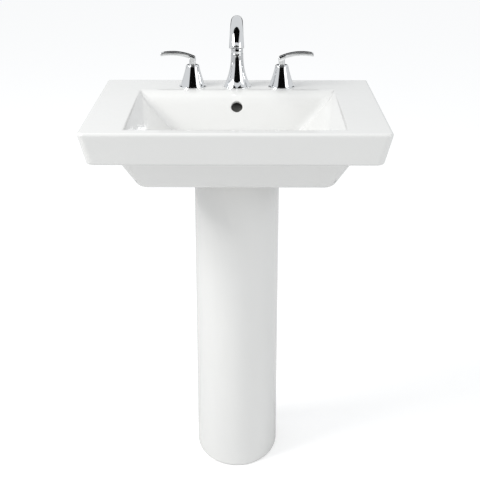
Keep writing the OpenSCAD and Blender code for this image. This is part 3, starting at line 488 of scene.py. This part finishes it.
def china_basin(x, y, z):
    wide = np.abs(x)
    down = rim_z - z
    under = down - slab_h
    behind = y - wall_y
    side = leaning(wide - half_w + 0.4 * mm, side_taper, down - edge_r)
    front = leaning(front_y - y + 0.3 * mm, front_taper, down - edge_r)
    low_side = leaning(wide - half_w + apron_in_side, apron_side_slope, under)
    low_front = leaning(front_y + apron_in_front - y, apron_front_slope, under)
    slab = both(both(both(side, front, 15 * mm), behind, 4 * mm), under, 4 * mm)
    apron = both(both(both(low_side, low_front, 18 * mm), behind, 7 * mm), down - body_h, 11 * mm)
    top = above_bowl(x, y, z)
    body = both(np.maximum(either(slab, apron, 3 * mm), behind), top, edge_r)

    wall = china_t + (deck_t - china_t) * np.clip((y - upper_wall_y) / (deck_edge_y - upper_wall_y), 0, 1)
    slab_room = np.maximum(np.maximum(side, front), np.maximum(behind, under)) + china_t
    apron_room = np.maximum(np.maximum(low_side, low_front), behind) + china_t
    room = both(either(slab_room, apron_room, 6 * mm), top + wall, 8 * mm)
    pad = np.maximum(wide - column_half_w - 8 * mm, np.maximum(column_front_y - 8 * mm - y, y - foot_y - 18 * mm))
    skin = duct_half_w + 8 * mm
    duct_wall = np.maximum(wide - skin, -top - china_t - duct_t - 8 * mm)
    room = both(both(room, -pad, 8 * mm), -duct_wall, 6 * mm)

    duct = np.maximum(np.maximum(wide - duct_half_w, top + china_t), -top - china_t - duct_t)
    duct = np.maximum(np.maximum(duct, drain_y - y), overflow_depth - overflow_r - down)
    s, c = math.sin(back_angle), math.cos(back_angle)
    across = (y - overflow_y) * c + (z - rim_z + overflow_depth) * s
    along = -(y - overflow_y) * s + (z - rim_z + overflow_depth) * c
    overflow = np.maximum(rod(x, across, overflow_r), np.maximum(-along - china_t - duct_t / 2, along - 20 * mm))

    spout_hole = rod(x, y - tap_y - spout_hole_back, spout_hole_r)
    taps = np.minimum(rod(wide - tap_x, y - tap_y, tap_hole_r), spout_hole)
    drain = rod(x, y - drain_y, drain_hole_r)
    bolts = np.maximum(rod(wide - wall_bolt_x, down - slab_h / 2, wall_bolt_r), wall_y - 20 * mm - y)
    body = both(body, -room, 4 * mm)
    body = both(np.maximum(body, -duct), -overflow, 2 * mm)
    return both(body, -np.minimum(np.minimum(taps, drain), bolts), 1.5 * mm)


def make_basin():
    xs = mirrored_lines(
        (0, 32 * mm, 3 * mm), (32 * mm, 84 * mm, 6 * mm), (84 * mm, 120 * mm, 3.5 * mm), (120 * mm, 206 * mm, 6 * mm),
        (206 * mm, 226 * mm, 2.5 * mm), (226 * mm, 284 * mm, 5.5 * mm), (284 * mm, half_w + 3 * mm, 2.4 * mm),
    )
    ys = lines(
        (front_y - 3 * mm, front_y + 46 * mm, 2.5 * mm),
        (front_y + 46 * mm, -30 * mm, 6 * mm), (-30 * mm, 70 * mm, 4.5 * mm),
        (70 * mm, 125 * mm, 3 * mm), (125 * mm, 208 * mm, 4 * mm), (208 * mm, 236 * mm, 6 * mm),
        (236 * mm, wall_y + 3 * mm, 2.5 * mm),
    )
    zs = lines(
        (rim_z - body_h - 3 * mm, rim_z - body_h + 14 * mm, 2.6 * mm),
        (rim_z - body_h + 14 * mm, rim_z - 72 * mm, 5 * mm),
        (rim_z - 72 * mm, rim_z - 52 * mm, 2.5 * mm), (rim_z - 52 * mm, rim_z - 10 * mm, 4 * mm),
        (rim_z - 10 * mm, rim_z + 2 * mm, 1.5 * mm),
    )
    points, faces, normals = cast(china_basin, xs, ys, zs)
    piece = mesh_piece(
        "basin_china", points, faces, glaze, "fixed", ["basin"], normals=normals, turn_out=False
    )
    piece.data.materials.append(duct_painted_shade)
    piece.data.materials.append(biscuit)
    centre = points[faces].mean(1)
    facing = normals[faces].mean(1)
    top = above_bowl(*centre.T)
    # faces inside the overflow duct, which get the near-black painted shade colour
    duct_painted_shade_faces = (np.abs(centre[:, 0]) < duct_half_w + 1 * mm) & (top < -8 * mm) & (top > -china_t - duct_t - 1 * mm)
    duct_painted_shade_faces &= (centre[:, 1] > drain_y + 24 * mm) & (centre[:, 1] < tap_y - 22 * mm)
    on_foot = (centre[:, 2] < rim_z - body_h + 1 * mm) & (facing[:, 2] < -0.9)
    which = np.where(duct_painted_shade_faces, 1, np.where(on_foot, 2, 0)).astype(np.int32)
    piece.data.polygons.foreach_set("material_index", which)
    return piece


# ---------------------------------------------------------------- pedestal

def column_outline(x, y, inset):
    """Distance outside the column's outline seen from above: an oval nose and straight sides."""
    a = column_half_w - inset
    b = column_nose - inset
    v = y - column_front_y - column_nose
    e = np.maximum(np.hypot(x / a, v / b), 1e-6)
    steep = np.hypot(x / a ** 2, v / b ** 2) / e
    return np.where(v < 0, (e - 1) / np.maximum(steep, 1e-6), np.abs(x) - a)


def china_column(x, y, z):
    outline = column_outline(x, y, 0)
    behind = y - column_back_y
    ends = np.maximum(-z, z - column_h)
    outer = both(both(outline, behind, 6 * mm), ends, 4 * mm)
    room = np.maximum(column_outline(x, y, column_t), behind + column_t)
    mouth = np.maximum(np.abs(x) - column_half_w + column_t + lip_w, column_back_y - 60 * mm - y)
    body = both(outer, -np.minimum(room, mouth), 4 * mm)
    lug = np.maximum(np.maximum(np.abs(y - lug_y) - 16 * mm, z - 20 * mm), np.maximum(-z, outline + column_t / 2))
    body = np.maximum(either(body, lug, 4 * mm), ends)
    return both(body, -rod(x, y - lug_y, floor_bolt_r), 1.5 * mm)


def make_pedestal():
    xs = mirrored_lines((0, 18 * mm, 3 * mm), (18 * mm, 66 * mm, 4 * mm), (66 * mm, column_half_w + 3 * mm, 2.2 * mm))
    ys = lines(
        (column_front_y - 3 * mm, column_front_y + 32 * mm, 2.2 * mm),
        (column_front_y + 32 * mm, lug_y - 20 * mm, 4 * mm),
        (lug_y - 20 * mm, lug_y + 20 * mm, 2.8 * mm), (lug_y + 20 * mm, column_back_y - 20 * mm, 5 * mm),
        (column_back_y - 20 * mm, column_back_y + 3 * mm, 2 * mm),
    )
    zs = lines(
        (-3 * mm, 26 * mm, 2 * mm), (26 * mm, column_h - 8 * mm, 18 * mm),
        (column_h - 8 * mm, column_h + 3 * mm, 2 * mm),
    )
    points, faces, normals = cast(china_column, xs, ys, zs)
    piece = mesh_piece(
        "pedestal_china", points, faces, glaze, "fixed", ["pedestal"], normals=normals, turn_out=False
    )
    piece.data.materials.append(biscuit)
    facing = normals[faces].mean(1)
    height = points[faces].mean(1)[:, 2]
    bare = (np.abs(facing[:, 2]) > 0.9) & ((height < 1 * mm) | (height > column_h - 1 * mm))
    piece.data.polygons.foreach_set("material_index", bare.astype(np.int32))
    return piece


# ---------------------------------------------------------------- spout

base_h = 75 * mm
base_top_r = 14 * mm
ring_top = base_h + 12.5 * mm
ring_r = 13.4 * mm
neck_r = 12 * mm
outlet_r = 16.3 * mm
spout_t = 2.4 * mm
arch_r = 65 * mm
arch_angle = math.radians(164)
arch_start = ring_top + 4 * mm
spigot_r = 9 * mm
shell_t = 2.2 * mm
tap_foot = Vector((0, tap_y, rim_z))


def make_spout_base():
    def r_at(z):
        s = 1 - (z - 2.4 * mm) / (base_h - 2.4 * mm)
        return base_top_r + (flange_r - base_top_r - 1.5 * mm) * s ** 2.4

    heights = [2.4 * mm + (base_h - 3.4 * mm) * (i / 40) for i in range(41)]
    profile = [(flange_r - 3 * mm, 0), (flange_r - 0.4 * mm, 0)]
    profile += arc(flange_r - 0.9 * mm, 0.9 * mm, 0.9 * mm, -60, 90)
    profile += [(r_at(z), z) for z in heights]
    profile += arc(r_at(base_h) - 1 * mm, base_h - 1 * mm, 1 * mm, 20, 90, 4)
    profile += [(spigot_r + 0.05 * mm, base_h), (spigot_r + 0.05 * mm, base_h - 14 * mm)]
    profile += [(8.5 * mm, base_h - 14 * mm), (8.5 * mm, base_h - 21 * mm)]
    profile += [(r_at(z) - shell_t, z) for z in reversed(heights) if z < base_h - 21 * mm]
    points, faces = turned(profile)
    mesh_piece("spout_base_trumpet", moved(points, tap_foot), faces, chrome, "fixed", ["spout_base"])


def make_spout_ring():
    low = base_h + gap
    mid = (low + ring_top) / 2
    profile = [(spigot_r, low), (ring_r - 1.2 * mm, low)]
    profile += arc(ring_r - 1.0 * mm, low + 1.0 * mm, 1.0 * mm, -90, 0, 5)
    profile += [(ring_r + 0.15 * mm, mid)]
    profile += arc(ring_r - 1.0 * mm, ring_top - 1.0 * mm, 1.0 * mm, 0, 90, 5)
    profile += [(spigot_r, ring_top)]
    points, faces = turned(profile)
    mesh_piece("spout_ring_band", moved(points, tap_foot), faces, chrome, "spout_arm", ["spout_ring"])


def make_spout():
    steps = 72
    path = [Vector((0, 0, ring_top + (arch_start - ring_top) * i / 6)) for i in range(6)]
    turn = [arch_angle * i / steps for i in range(steps + 1)]
    path += [Vector((0, -arch_r + arch_r * math.cos(a), arch_start + arch_r * math.sin(a))) for a in turn]
    r_out = [neck_r] * 6 + [neck_r + (outlet_r - neck_r) * (a / arch_angle) ** 2.4 for a in turn]
    points, faces = sleeve(path, (1, 0, 0), r_out, [r - spout_t for r in r_out], lip=0.8 * mm)
    mesh_piece("spout_tube", moved(points, tap_foot), faces, chrome, "spout_arm", ["spout"], sharp=60)
    spigot = [(spigot_r - spout_t, base_h - 13.5 * mm), (spigot_r, base_h - 13.5 * mm), (spigot_r, ring_top + 3 * mm)]
    spigot += [(spigot_r - spout_t, ring_top + 3 * mm)]
    points, faces = turned(spigot, 48)
    mesh_piece("spout_spigot", moved(points, tap_foot), faces, brass, "spout_arm")
    return path


def outlet_frame():
    turn = Matrix.Rotation(arch_angle, 3, "X")
    place = tap_foot + Vector(
        (0, -arch_r + arch_r * math.cos(arch_angle), arch_start + arch_r * math.sin(arch_angle))
    )
    return place, turn


def make_aerator():
    place, turn = outlet_frame()
    r = outlet_r - spout_t - 1.8 * mm
    bore = r - 2.2 * mm
    lip = outlet_r - spout_t - 0.6 * mm
    profile = [(bore, -12 * mm), (r, -12 * mm), (r, -0.8 * mm), (lip, -0.8 * mm)]
    profile += arc(lip - 0.4 * mm, 0.4 * mm, 0.4 * mm, 0, 90, 3)
    profile += [(bore + 0.6 * mm, 0.8 * mm)]
    points, faces = turned(profile, 64)
    mesh_piece("aerator_cage", moved(points, place, turn), faces, satin_chrome, "spout_arm", ["aerator"])


# ---------------------------------------------------------------- handles

bell_h = 50 * mm
shoulder_r = 15.5 * mm
post_half = 7 * mm
lever_len = 72 * mm
lever_half_w = 7.5 * mm
lever_top = 79.6 * mm
lever_arch_r = 120 * mm
lever_apex = 45 * mm


def make_bell(side, name):
    shoulder_h = bell_h - 7 * mm

    def r_at(z):
        s = 1 - (z - 2.4 * mm) / (shoulder_h - 2.4 * mm)
        return shoulder_r + 12 * mm * s ** 1.1

    heights = [2.4 * mm + (shoulder_h - 2.4 * mm) * i / 24 for i in range(25)]
    profile = [(flange_r - 4.4 * mm, 0), (flange_r - 0.4 * mm, 0)]
    profile += arc(flange_r - 0.9 * mm, 0.9 * mm, 0.9 * mm, -60, 90)
    profile += [(r_at(z), z) for z in heights]
    profile += arc(shoulder_r - 5 * mm, bell_h - 5 * mm, 5 * mm, 12, 90, 8)
    profile += [(4.6 * mm, bell_h), (4.6 * mm, bell_h - shell_t)]
    profile += [(shoulder_r - 5 * mm, bell_h - shell_t)]
    profile += [(r_at(z) - shell_t, z - 0.3 * mm) for z in reversed(heights)]
    points, faces = turned(profile)
    place = (side * tap_x, tap_y, rim_z)
    mesh_piece(f"{name}_bell_shell", moved(points, place), faces, chrome, "fixed", [f"{name}_bell"])


def make_handle(side, name, body):
    def handle(x, y, z):
        u = side * x
        arched = lever_top - lever_arch_r + np.sqrt(np.maximum(lever_arch_r ** 2 - (u - lever_apex) ** 2, 0))
        thick = (9.2 - 1.4 * np.clip(u / lever_len, 0, 1)) * mm
        slope = (u - lever_apex) / lever_arch_r
        flat = (np.abs(z - arched + thick / 2) - thick / 2) * np.sqrt(np.maximum(1 - slope ** 2, 0.3))
        wide = np.abs(y) - post_half - (lever_half_w - post_half) * np.clip(u / lever_len, 0, 1)
        ends = np.maximum(u - lever_len, -post_half - u)
        lever = both(both(flat, wide, 1.6 * mm), ends, 1.8 * mm)
        post = both(both(np.abs(u) - post_half, np.abs(y) - post_half, 3 * mm), bell_h + gap - z, 0.6 * mm)
        post = np.maximum(post, z - arched + thick / 2)
        body_field = either(lever, post, 2.5 * mm)
        return both(body_field, -np.maximum(rod(x, y, 4 * mm), z - 62 * mm), 0.3 * mm)

    def local(x, y, z):
        return handle(x - side * tap_x, y - tap_y, z - rim_z)

    us = lines((-8.6 * mm, 9 * mm, 0.7 * mm), (9 * mm, 68 * mm, 1.5 * mm), (68 * mm, 73.6 * mm, 0.6 * mm))
    xs = side * tap_x + (us if side > 0 else -us[::-1])
    ys = tap_y + mirrored_lines((0, 4.6 * mm, 0.9 * mm), (4.6 * mm, 8.6 * mm, 0.6 * mm))
    zs = rim_z + lines((bell_h - 0.6 * mm, lever_top + 0.9 * mm, 0.7 * mm))
    points, faces, normals = cast(local, xs, ys, zs, reach=0.4 * mm)
    mesh_piece(
        f"{name}_handle_lever", points, faces, chrome, body, [f"{name}_handle"],
        normals=normals, turn_out=False,
    )


# ---------------------------------------------------------------- pop-up drain, seen from above and behind

def make_lift_knob():
    low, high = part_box("lift_knob")
    r = (high.x - low.x) / 2
    place = Vector(((low.x + high.x) / 2, (low.y + high.y) / 2, low.z))
    profile = [(0, 0), (r * 0.55, 0), (r * 0.6, 0.3 * mm), (r * 0.6, 3 * mm)]
    profile += arc(0, 8 * mm, r, -50, 88, 18) + [(0, 8 * mm + r)]
    points, faces = turned(profile, 64)
    mesh_piece("lift_knob_ball", moved(points, place), faces, chrome, "lift", ["lift_knob"])


# ---------------------------------------------------------------- braided hoses

def node_tree(name, numbers):
    """A node tree for shapes, with the piece's own shape and the named numbers as its inputs."""
    tree = bpy.data.node_groups.new(name, "GeometryNodeTree")
    tree.interface.new_socket("Geometry", in_out="INPUT", socket_type="NodeSocketGeometry")
    for label, value in numbers.items():
        kind = "NodeSocketInt" if isinstance(value, int) else "NodeSocketFloat"
        tree.interface.new_socket(label, in_out="INPUT", socket_type=kind).default_value = value
    tree.interface.new_socket("Material", in_out="INPUT", socket_type="NodeSocketMaterial")
    tree.interface.new_socket("Geometry", in_out="OUTPUT", socket_type="NodeSocketGeometry")
    return tree, tree.nodes.new("NodeGroupInput").outputs


def end_tree(tree, given, curve, profile):
    """Runs a profile along a curve, makes the copies real and gives them the material."""
    mesh = put(tree, "GeometryNodeCurveToMesh", {"Curve": curve, "Profile Curve": profile, "Fill Caps": True})
    real = put(tree, "GeometryNodeRealizeInstances", {"Geometry": mesh.outputs[0]})
    done = put(tree, "GeometryNodeSetMaterial", {"Geometry": real.outputs[0], "Material": given["Material"]})
    out = tree.nodes.new("NodeGroupOutput")
    tree.links.new(done.outputs[0], out.inputs[0])
    return tree


def calc(tree, operation, *values):
    return put(tree, "ShaderNodeMath", dict(enumerate(values)), operation=operation).outputs[0]


def braid_tree():
    """Wires wound both ways round a path, each passing over one wire and under the next."""
    tree, given = node_tree("braid", {
        "Wires": 11, "Turns": 3.0, "Radius": 4.7 * mm, "Weave": 0.16 * mm, "Wire Radius": 0.3 * mm, "Steps": 150,
    })
    path = put(tree, "GeometryNodeMeshToCurve", {"Mesh": given["Geometry"]})
    line = put(tree, "GeometryNodeCurvePrimitiveLine")
    fine = put(tree, "GeometryNodeResampleCurve", {"Curve": line.outputs[0], "Count": given["Steps"]})
    amount = calc(tree, "MULTIPLY", given["Wires"], 2.0)
    wires = put(
        tree, "GeometryNodeDuplicateElements", {"Geometry": fine.outputs[0], "Amount": amount}, domain="SPLINE"
    )
    along = put(tree, "GeometryNodeSplineParameter").outputs["Factor"]
    at = put(tree, "GeometryNodeSampleCurve", {"Curves": path.outputs[0], "Factor": along}, mode="FACTOR")
    which = wires.outputs["Duplicate Index"]
    way = calc(tree, "MULTIPLY_ADD", calc(tree, "MODULO", which, 2.0), 2.0, -1.0)
    start = calc(tree, "DIVIDE", calc(tree, "FLOOR", calc(tree, "MULTIPLY", which, 0.5)), given["Wires"])
    turned_by = calc(tree, "MULTIPLY", along, given["Turns"])
    angle = calc(tree, "MULTIPLY", calc(tree, "MULTIPLY_ADD", way, turned_by, start), 2 * math.pi)
    phase = calc(tree, "MULTIPLY", calc(tree, "MULTIPLY", turned_by, given["Wires"]), 2 * math.pi)
    lift = calc(tree, "MULTIPLY", calc(tree, "MULTIPLY", calc(tree, "COSINE", phase), way), given["Weave"])
    reach = calc(tree, "ADD", given["Radius"], lift)
    side = put(
        tree, "ShaderNodeVectorMath", {0: at.outputs["Tangent"], 1: at.outputs["Normal"]}, operation="CROSS_PRODUCT"
    ).outputs[0]
    parts = []
    for direction, kind in ((at.outputs["Normal"], "COSINE"), (side, "SINE")):
        size = calc(tree, "MULTIPLY", calc(tree, kind, angle), reach)
        parts.append(put(tree, "ShaderNodeVectorMath", {0: direction, "Scale": size}, operation="SCALE").outputs[0])
    off = put(tree, "ShaderNodeVectorMath", {0: parts[0], 1: parts[1]}, operation="ADD").outputs[0]
    place = put(tree, "ShaderNodeVectorMath", {0: at.outputs["Position"], 1: off}, operation="ADD").outputs[0]
    wound = put(tree, "GeometryNodeSetPosition", {"Geometry": wires.outputs["Geometry"], "Position": place})
    round_wire = put(tree, "GeometryNodeCurvePrimitiveCircle", {"Resolution": 5, "Radius": given["Wire Radius"]})
    return end_tree(tree, given, wound.outputs[0], round_wire.outputs[0])


def grown(name, tree, points, finish):
    """A plain mesh of what a tree makes from a line through the points, in the row frame."""
    seed = bpy.data.meshes.new(name + "_seed")
    seed.from_pydata([tuple(p) for p in points], [(i, i + 1) for i in range(len(points) - 1)], [])
    grower = bpy.data.objects.new(name + "_seed", seed)
    bpy.context.scene.collection.objects.link(grower)
    way = grower.modifiers.new("grow", "NODES")
    way.node_group = tree
    keys = {item.name: item.identifier for item in tree.interface.items_tree if item.in_out == "INPUT"}
    way[keys["Material"]] = finish
    seen = grower.evaluated_get(bpy.context.evaluated_depsgraph_get())
    data = bpy.data.meshes.new_from_object(seen)
    data.name = name
    bpy.data.objects.remove(grower)
    bpy.data.meshes.remove(seed)
    data.polygons.foreach_set("use_smooth", [True] * len(data.polygons))
    piece = bpy.data.objects.new(name, data)
    bpy.context.scene.collection.objects.link(piece)
    return piece


def make_hose(side, name, tree):
    low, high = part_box(name + "_hose")
    near, far = sorted((abs(low.x), abs(high.x)))
    ends = [Vector((far, 0, high.z - hose_r)), Vector((near, 0, low.z + hose_r))]
    pulls = [ends[0] - Vector((hose_pull, 0, 0)), ends[1] + Vector((hose_pull, 0, 0))]
    path = []
    for i in range(hose_steps + 1):
        t = i / hose_steps
        p = ends[0] * (1 - t) ** 3 + pulls[0] * 3 * t * (1 - t) ** 2
        p += pulls[1] * 3 * t * t * (1 - t) + ends[1] * t ** 3
        path.append(Vector((side * p.x, tap_y, p.z)))
    points, faces = sleeve(path, (0, 1, 0), [4.35 * mm] * len(path), [2.6 * mm] * len(path), sides=32, lip=0.3 * mm)
    mesh_piece(f"{name}_hose_tube", points, faces, rubber, "fixed", [f"{name}_hose"])
    braid = grown(f"{name}_hose_braid", tree, path, steel)
    dress(braid, None, "fixed")


# ---------------------------------------------------------------- what stays as the frame has it

KEPT = {
    satin_chrome: [
        "drain_body", "tailpiece", "trap_bend", "trap_arm", "trap_inlet_nut", "trap_outlet_nut", "pivot_nut",
    ],
    chrome: ["drain_flange", "stopper", "lift_rod"],
    brass: [
        "spout_shank", "spout_nut", "hot_valve", "cold_valve", "hot_bonnet", "cold_bonnet", "hot_nut", "cold_nut",
        "hot_stem", "cold_stem", "drain_locknut", "clevis_screw",
    ],
    steel: [
        "spout_washer", "drain_washer", "pivot_rod", "clevis", "spring_clip", "hot_screw", "cold_screw",
        "aerator_screen", "hose_nuts",
    ],
    rubber: ["spout_gasket", "drain_gasket", "stopper_seal", "hot_washer", "cold_washer"],
    nylon: ["hot_cartridge", "cold_cartridge", "pivot_seat", "trap_inlet_washer", "trap_outlet_washer"],
}


def dress_kept_nodes():
    for finish, names in KEPT.items():
        for name in names:
            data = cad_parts[name].data
            data.materials.clear()
            data.materials.append(finish)


# ---------------------------------------------------------------- stage, light and camera

def make_floor():
    data = bpy.data.meshes.new("floor")
    reach = 30
    corners = [(-reach, -reach, 0), (reach, -reach, 0), (reach, reach, 0), (-reach, reach, 0)]
    data.from_pydata(corners, [], [(0, 1, 2, 3)])
    floor = bpy.data.objects.new("floor", data)
    floor.location.z = -0.5 * mm
    bpy.context.scene.collection.objects.link(floor)
    paint = bpy.data.materials.new("pale_floor")
    paint.use_nodes = True
    shader = paint.node_tree.nodes["Principled BSDF"]
    shader.inputs["Base Color"].default_value = (0.76, 0.76, 0.76, 1)
    shader.inputs["Roughness"].default_value = 0.9
    shader.inputs["Specular IOR Level"].default_value = 0.0
    shader.inputs["Emission Color"].default_value = (1, 1, 1, 1)
    seen = put(paint.node_tree, "ShaderNodeLightPath").outputs["Is Camera Ray"]
    lift = put(paint.node_tree, "ShaderNodeMath", {0: seen, 1: 0.40}, operation="MULTIPLY")
    paint.node_tree.links.new(lift.outputs[0], shader.inputs["Emission Strength"])
    data.materials.append(paint)


def panel(name, place, aim, size, colour, strength):
    """A soft panel of light that faces a point."""
    lamp = bpy.data.lights.new(name, "AREA")
    lamp.shape = "RECTANGLE"
    lamp.size, lamp.size_y = size
    lamp.energy = strength
    lamp.color = colour
    made = bpy.data.objects.new(name, lamp)
    made.location = place
    made.rotation_euler = (Vector(aim) - Vector(place)).to_track_quat("-Z", "Y").to_euler()
    bpy.context.scene.collection.objects.link(made)
    return made


def dark_card(name, place, aim, size):
    """A black card that only polished pieces see."""
    x, y = size[0] / 2, size[1] / 2
    data = bpy.data.meshes.new(name)
    data.from_pydata([(-x, -y, 0), (x, -y, 0), (x, y, 0), (-x, y, 0)], [], [(0, 1, 2, 3)])
    card = bpy.data.objects.new(name, data)
    card.location = place
    card.rotation_euler = (Vector(aim) - Vector(place)).to_track_quat("-Z", "Y").to_euler()
    bpy.context.scene.collection.objects.link(card)
    cloth = bpy.data.materials.new(name + "_cloth")
    cloth.use_nodes = True
    cloth.node_tree.nodes["Principled BSDF"].inputs["Base Color"].default_value = (0.004, 0.004, 0.004, 1)
    cloth.node_tree.nodes["Principled BSDF"].inputs["Specular IOR Level"].default_value = 0.0
    data.materials.append(cloth)
    card.visible_camera = card.visible_diffuse = card.visible_shadow = False


def make_light():
    world = bpy.data.worlds.new("studio")
    bpy.context.scene.world = world
    world.use_nodes = True
    tree = world.node_tree
    seen = put(tree, "ShaderNodeBackground", {"Color": (1, 1, 1, 1), "Strength": 1.05})
    room = put(tree, "ShaderNodeBackground", {"Color": (0.97, 0.985, 1, 1), "Strength": 0.73})
    pick = put(tree, "ShaderNodeMixShader", {0: put(tree, "ShaderNodeLightPath").outputs["Is Camera Ray"]})
    tree.links.new(room.outputs[0], pick.inputs[1])
    tree.links.new(seen.outputs[0], pick.inputs[2])
    tree.links.new(pick.outputs[0], tree.nodes["World Output"].inputs["Surface"])
    middle = (0, 0, 0.75)
    panel("key", (-2.15, -0.95, 2.8), middle, (1.4, 1.4), (1, 0.995, 0.98), 61)
    panel("fill", (2.3, -1.35, 1.5), middle, (1.2, 1.8), (1, 1, 1), 11)
    dark_card("dark_front", (0.0, -2.6, 1.45), (0, 0.18, 0.95), (4.2, 2.4))
    dark_card("dark_top", (0.0, -1.0, 3.1), (0, -1.0, 0), (3.6, 2.6))
    dark_card("dark_back", (0.0, 0.50, 1.005), (0, 0.18, 0.95), (0.42, 0.08))


def make_camera():
    lens = bpy.data.cameras.new("camera")
    lens.lens = 79.3
    lens.sensor_width = 36
    camera = bpy.data.objects.new("camera", lens)
    camera.location = (0.02234, front_y - 1.9629, 1.376)
    camera.rotation_euler = (math.pi / 2 - 0.355, 0, 0.0066)
    bpy.context.scene.collection.objects.link(camera)
    bpy.context.scene.camera = camera
    bpy.context.scene.view_settings.view_transform = "Standard"


make_basin()
make_pedestal()
make_spout_base()
make_spout_ring()
make_spout()
make_aerator()
for tap_side, tap_name in ((-1, "hot"), (1, "cold")):
    make_bell(tap_side, tap_name)
    make_handle(tap_side, tap_name, f"{tap_name}_lever")
make_lift_knob()
braid = braid_tree()
for tap_side, tap_name in ((-1, "hot"), (1, "cold")):
    make_hose(tap_side, tap_name, braid)
dress_kept_nodes()
make_floor()
make_light()
make_camera()
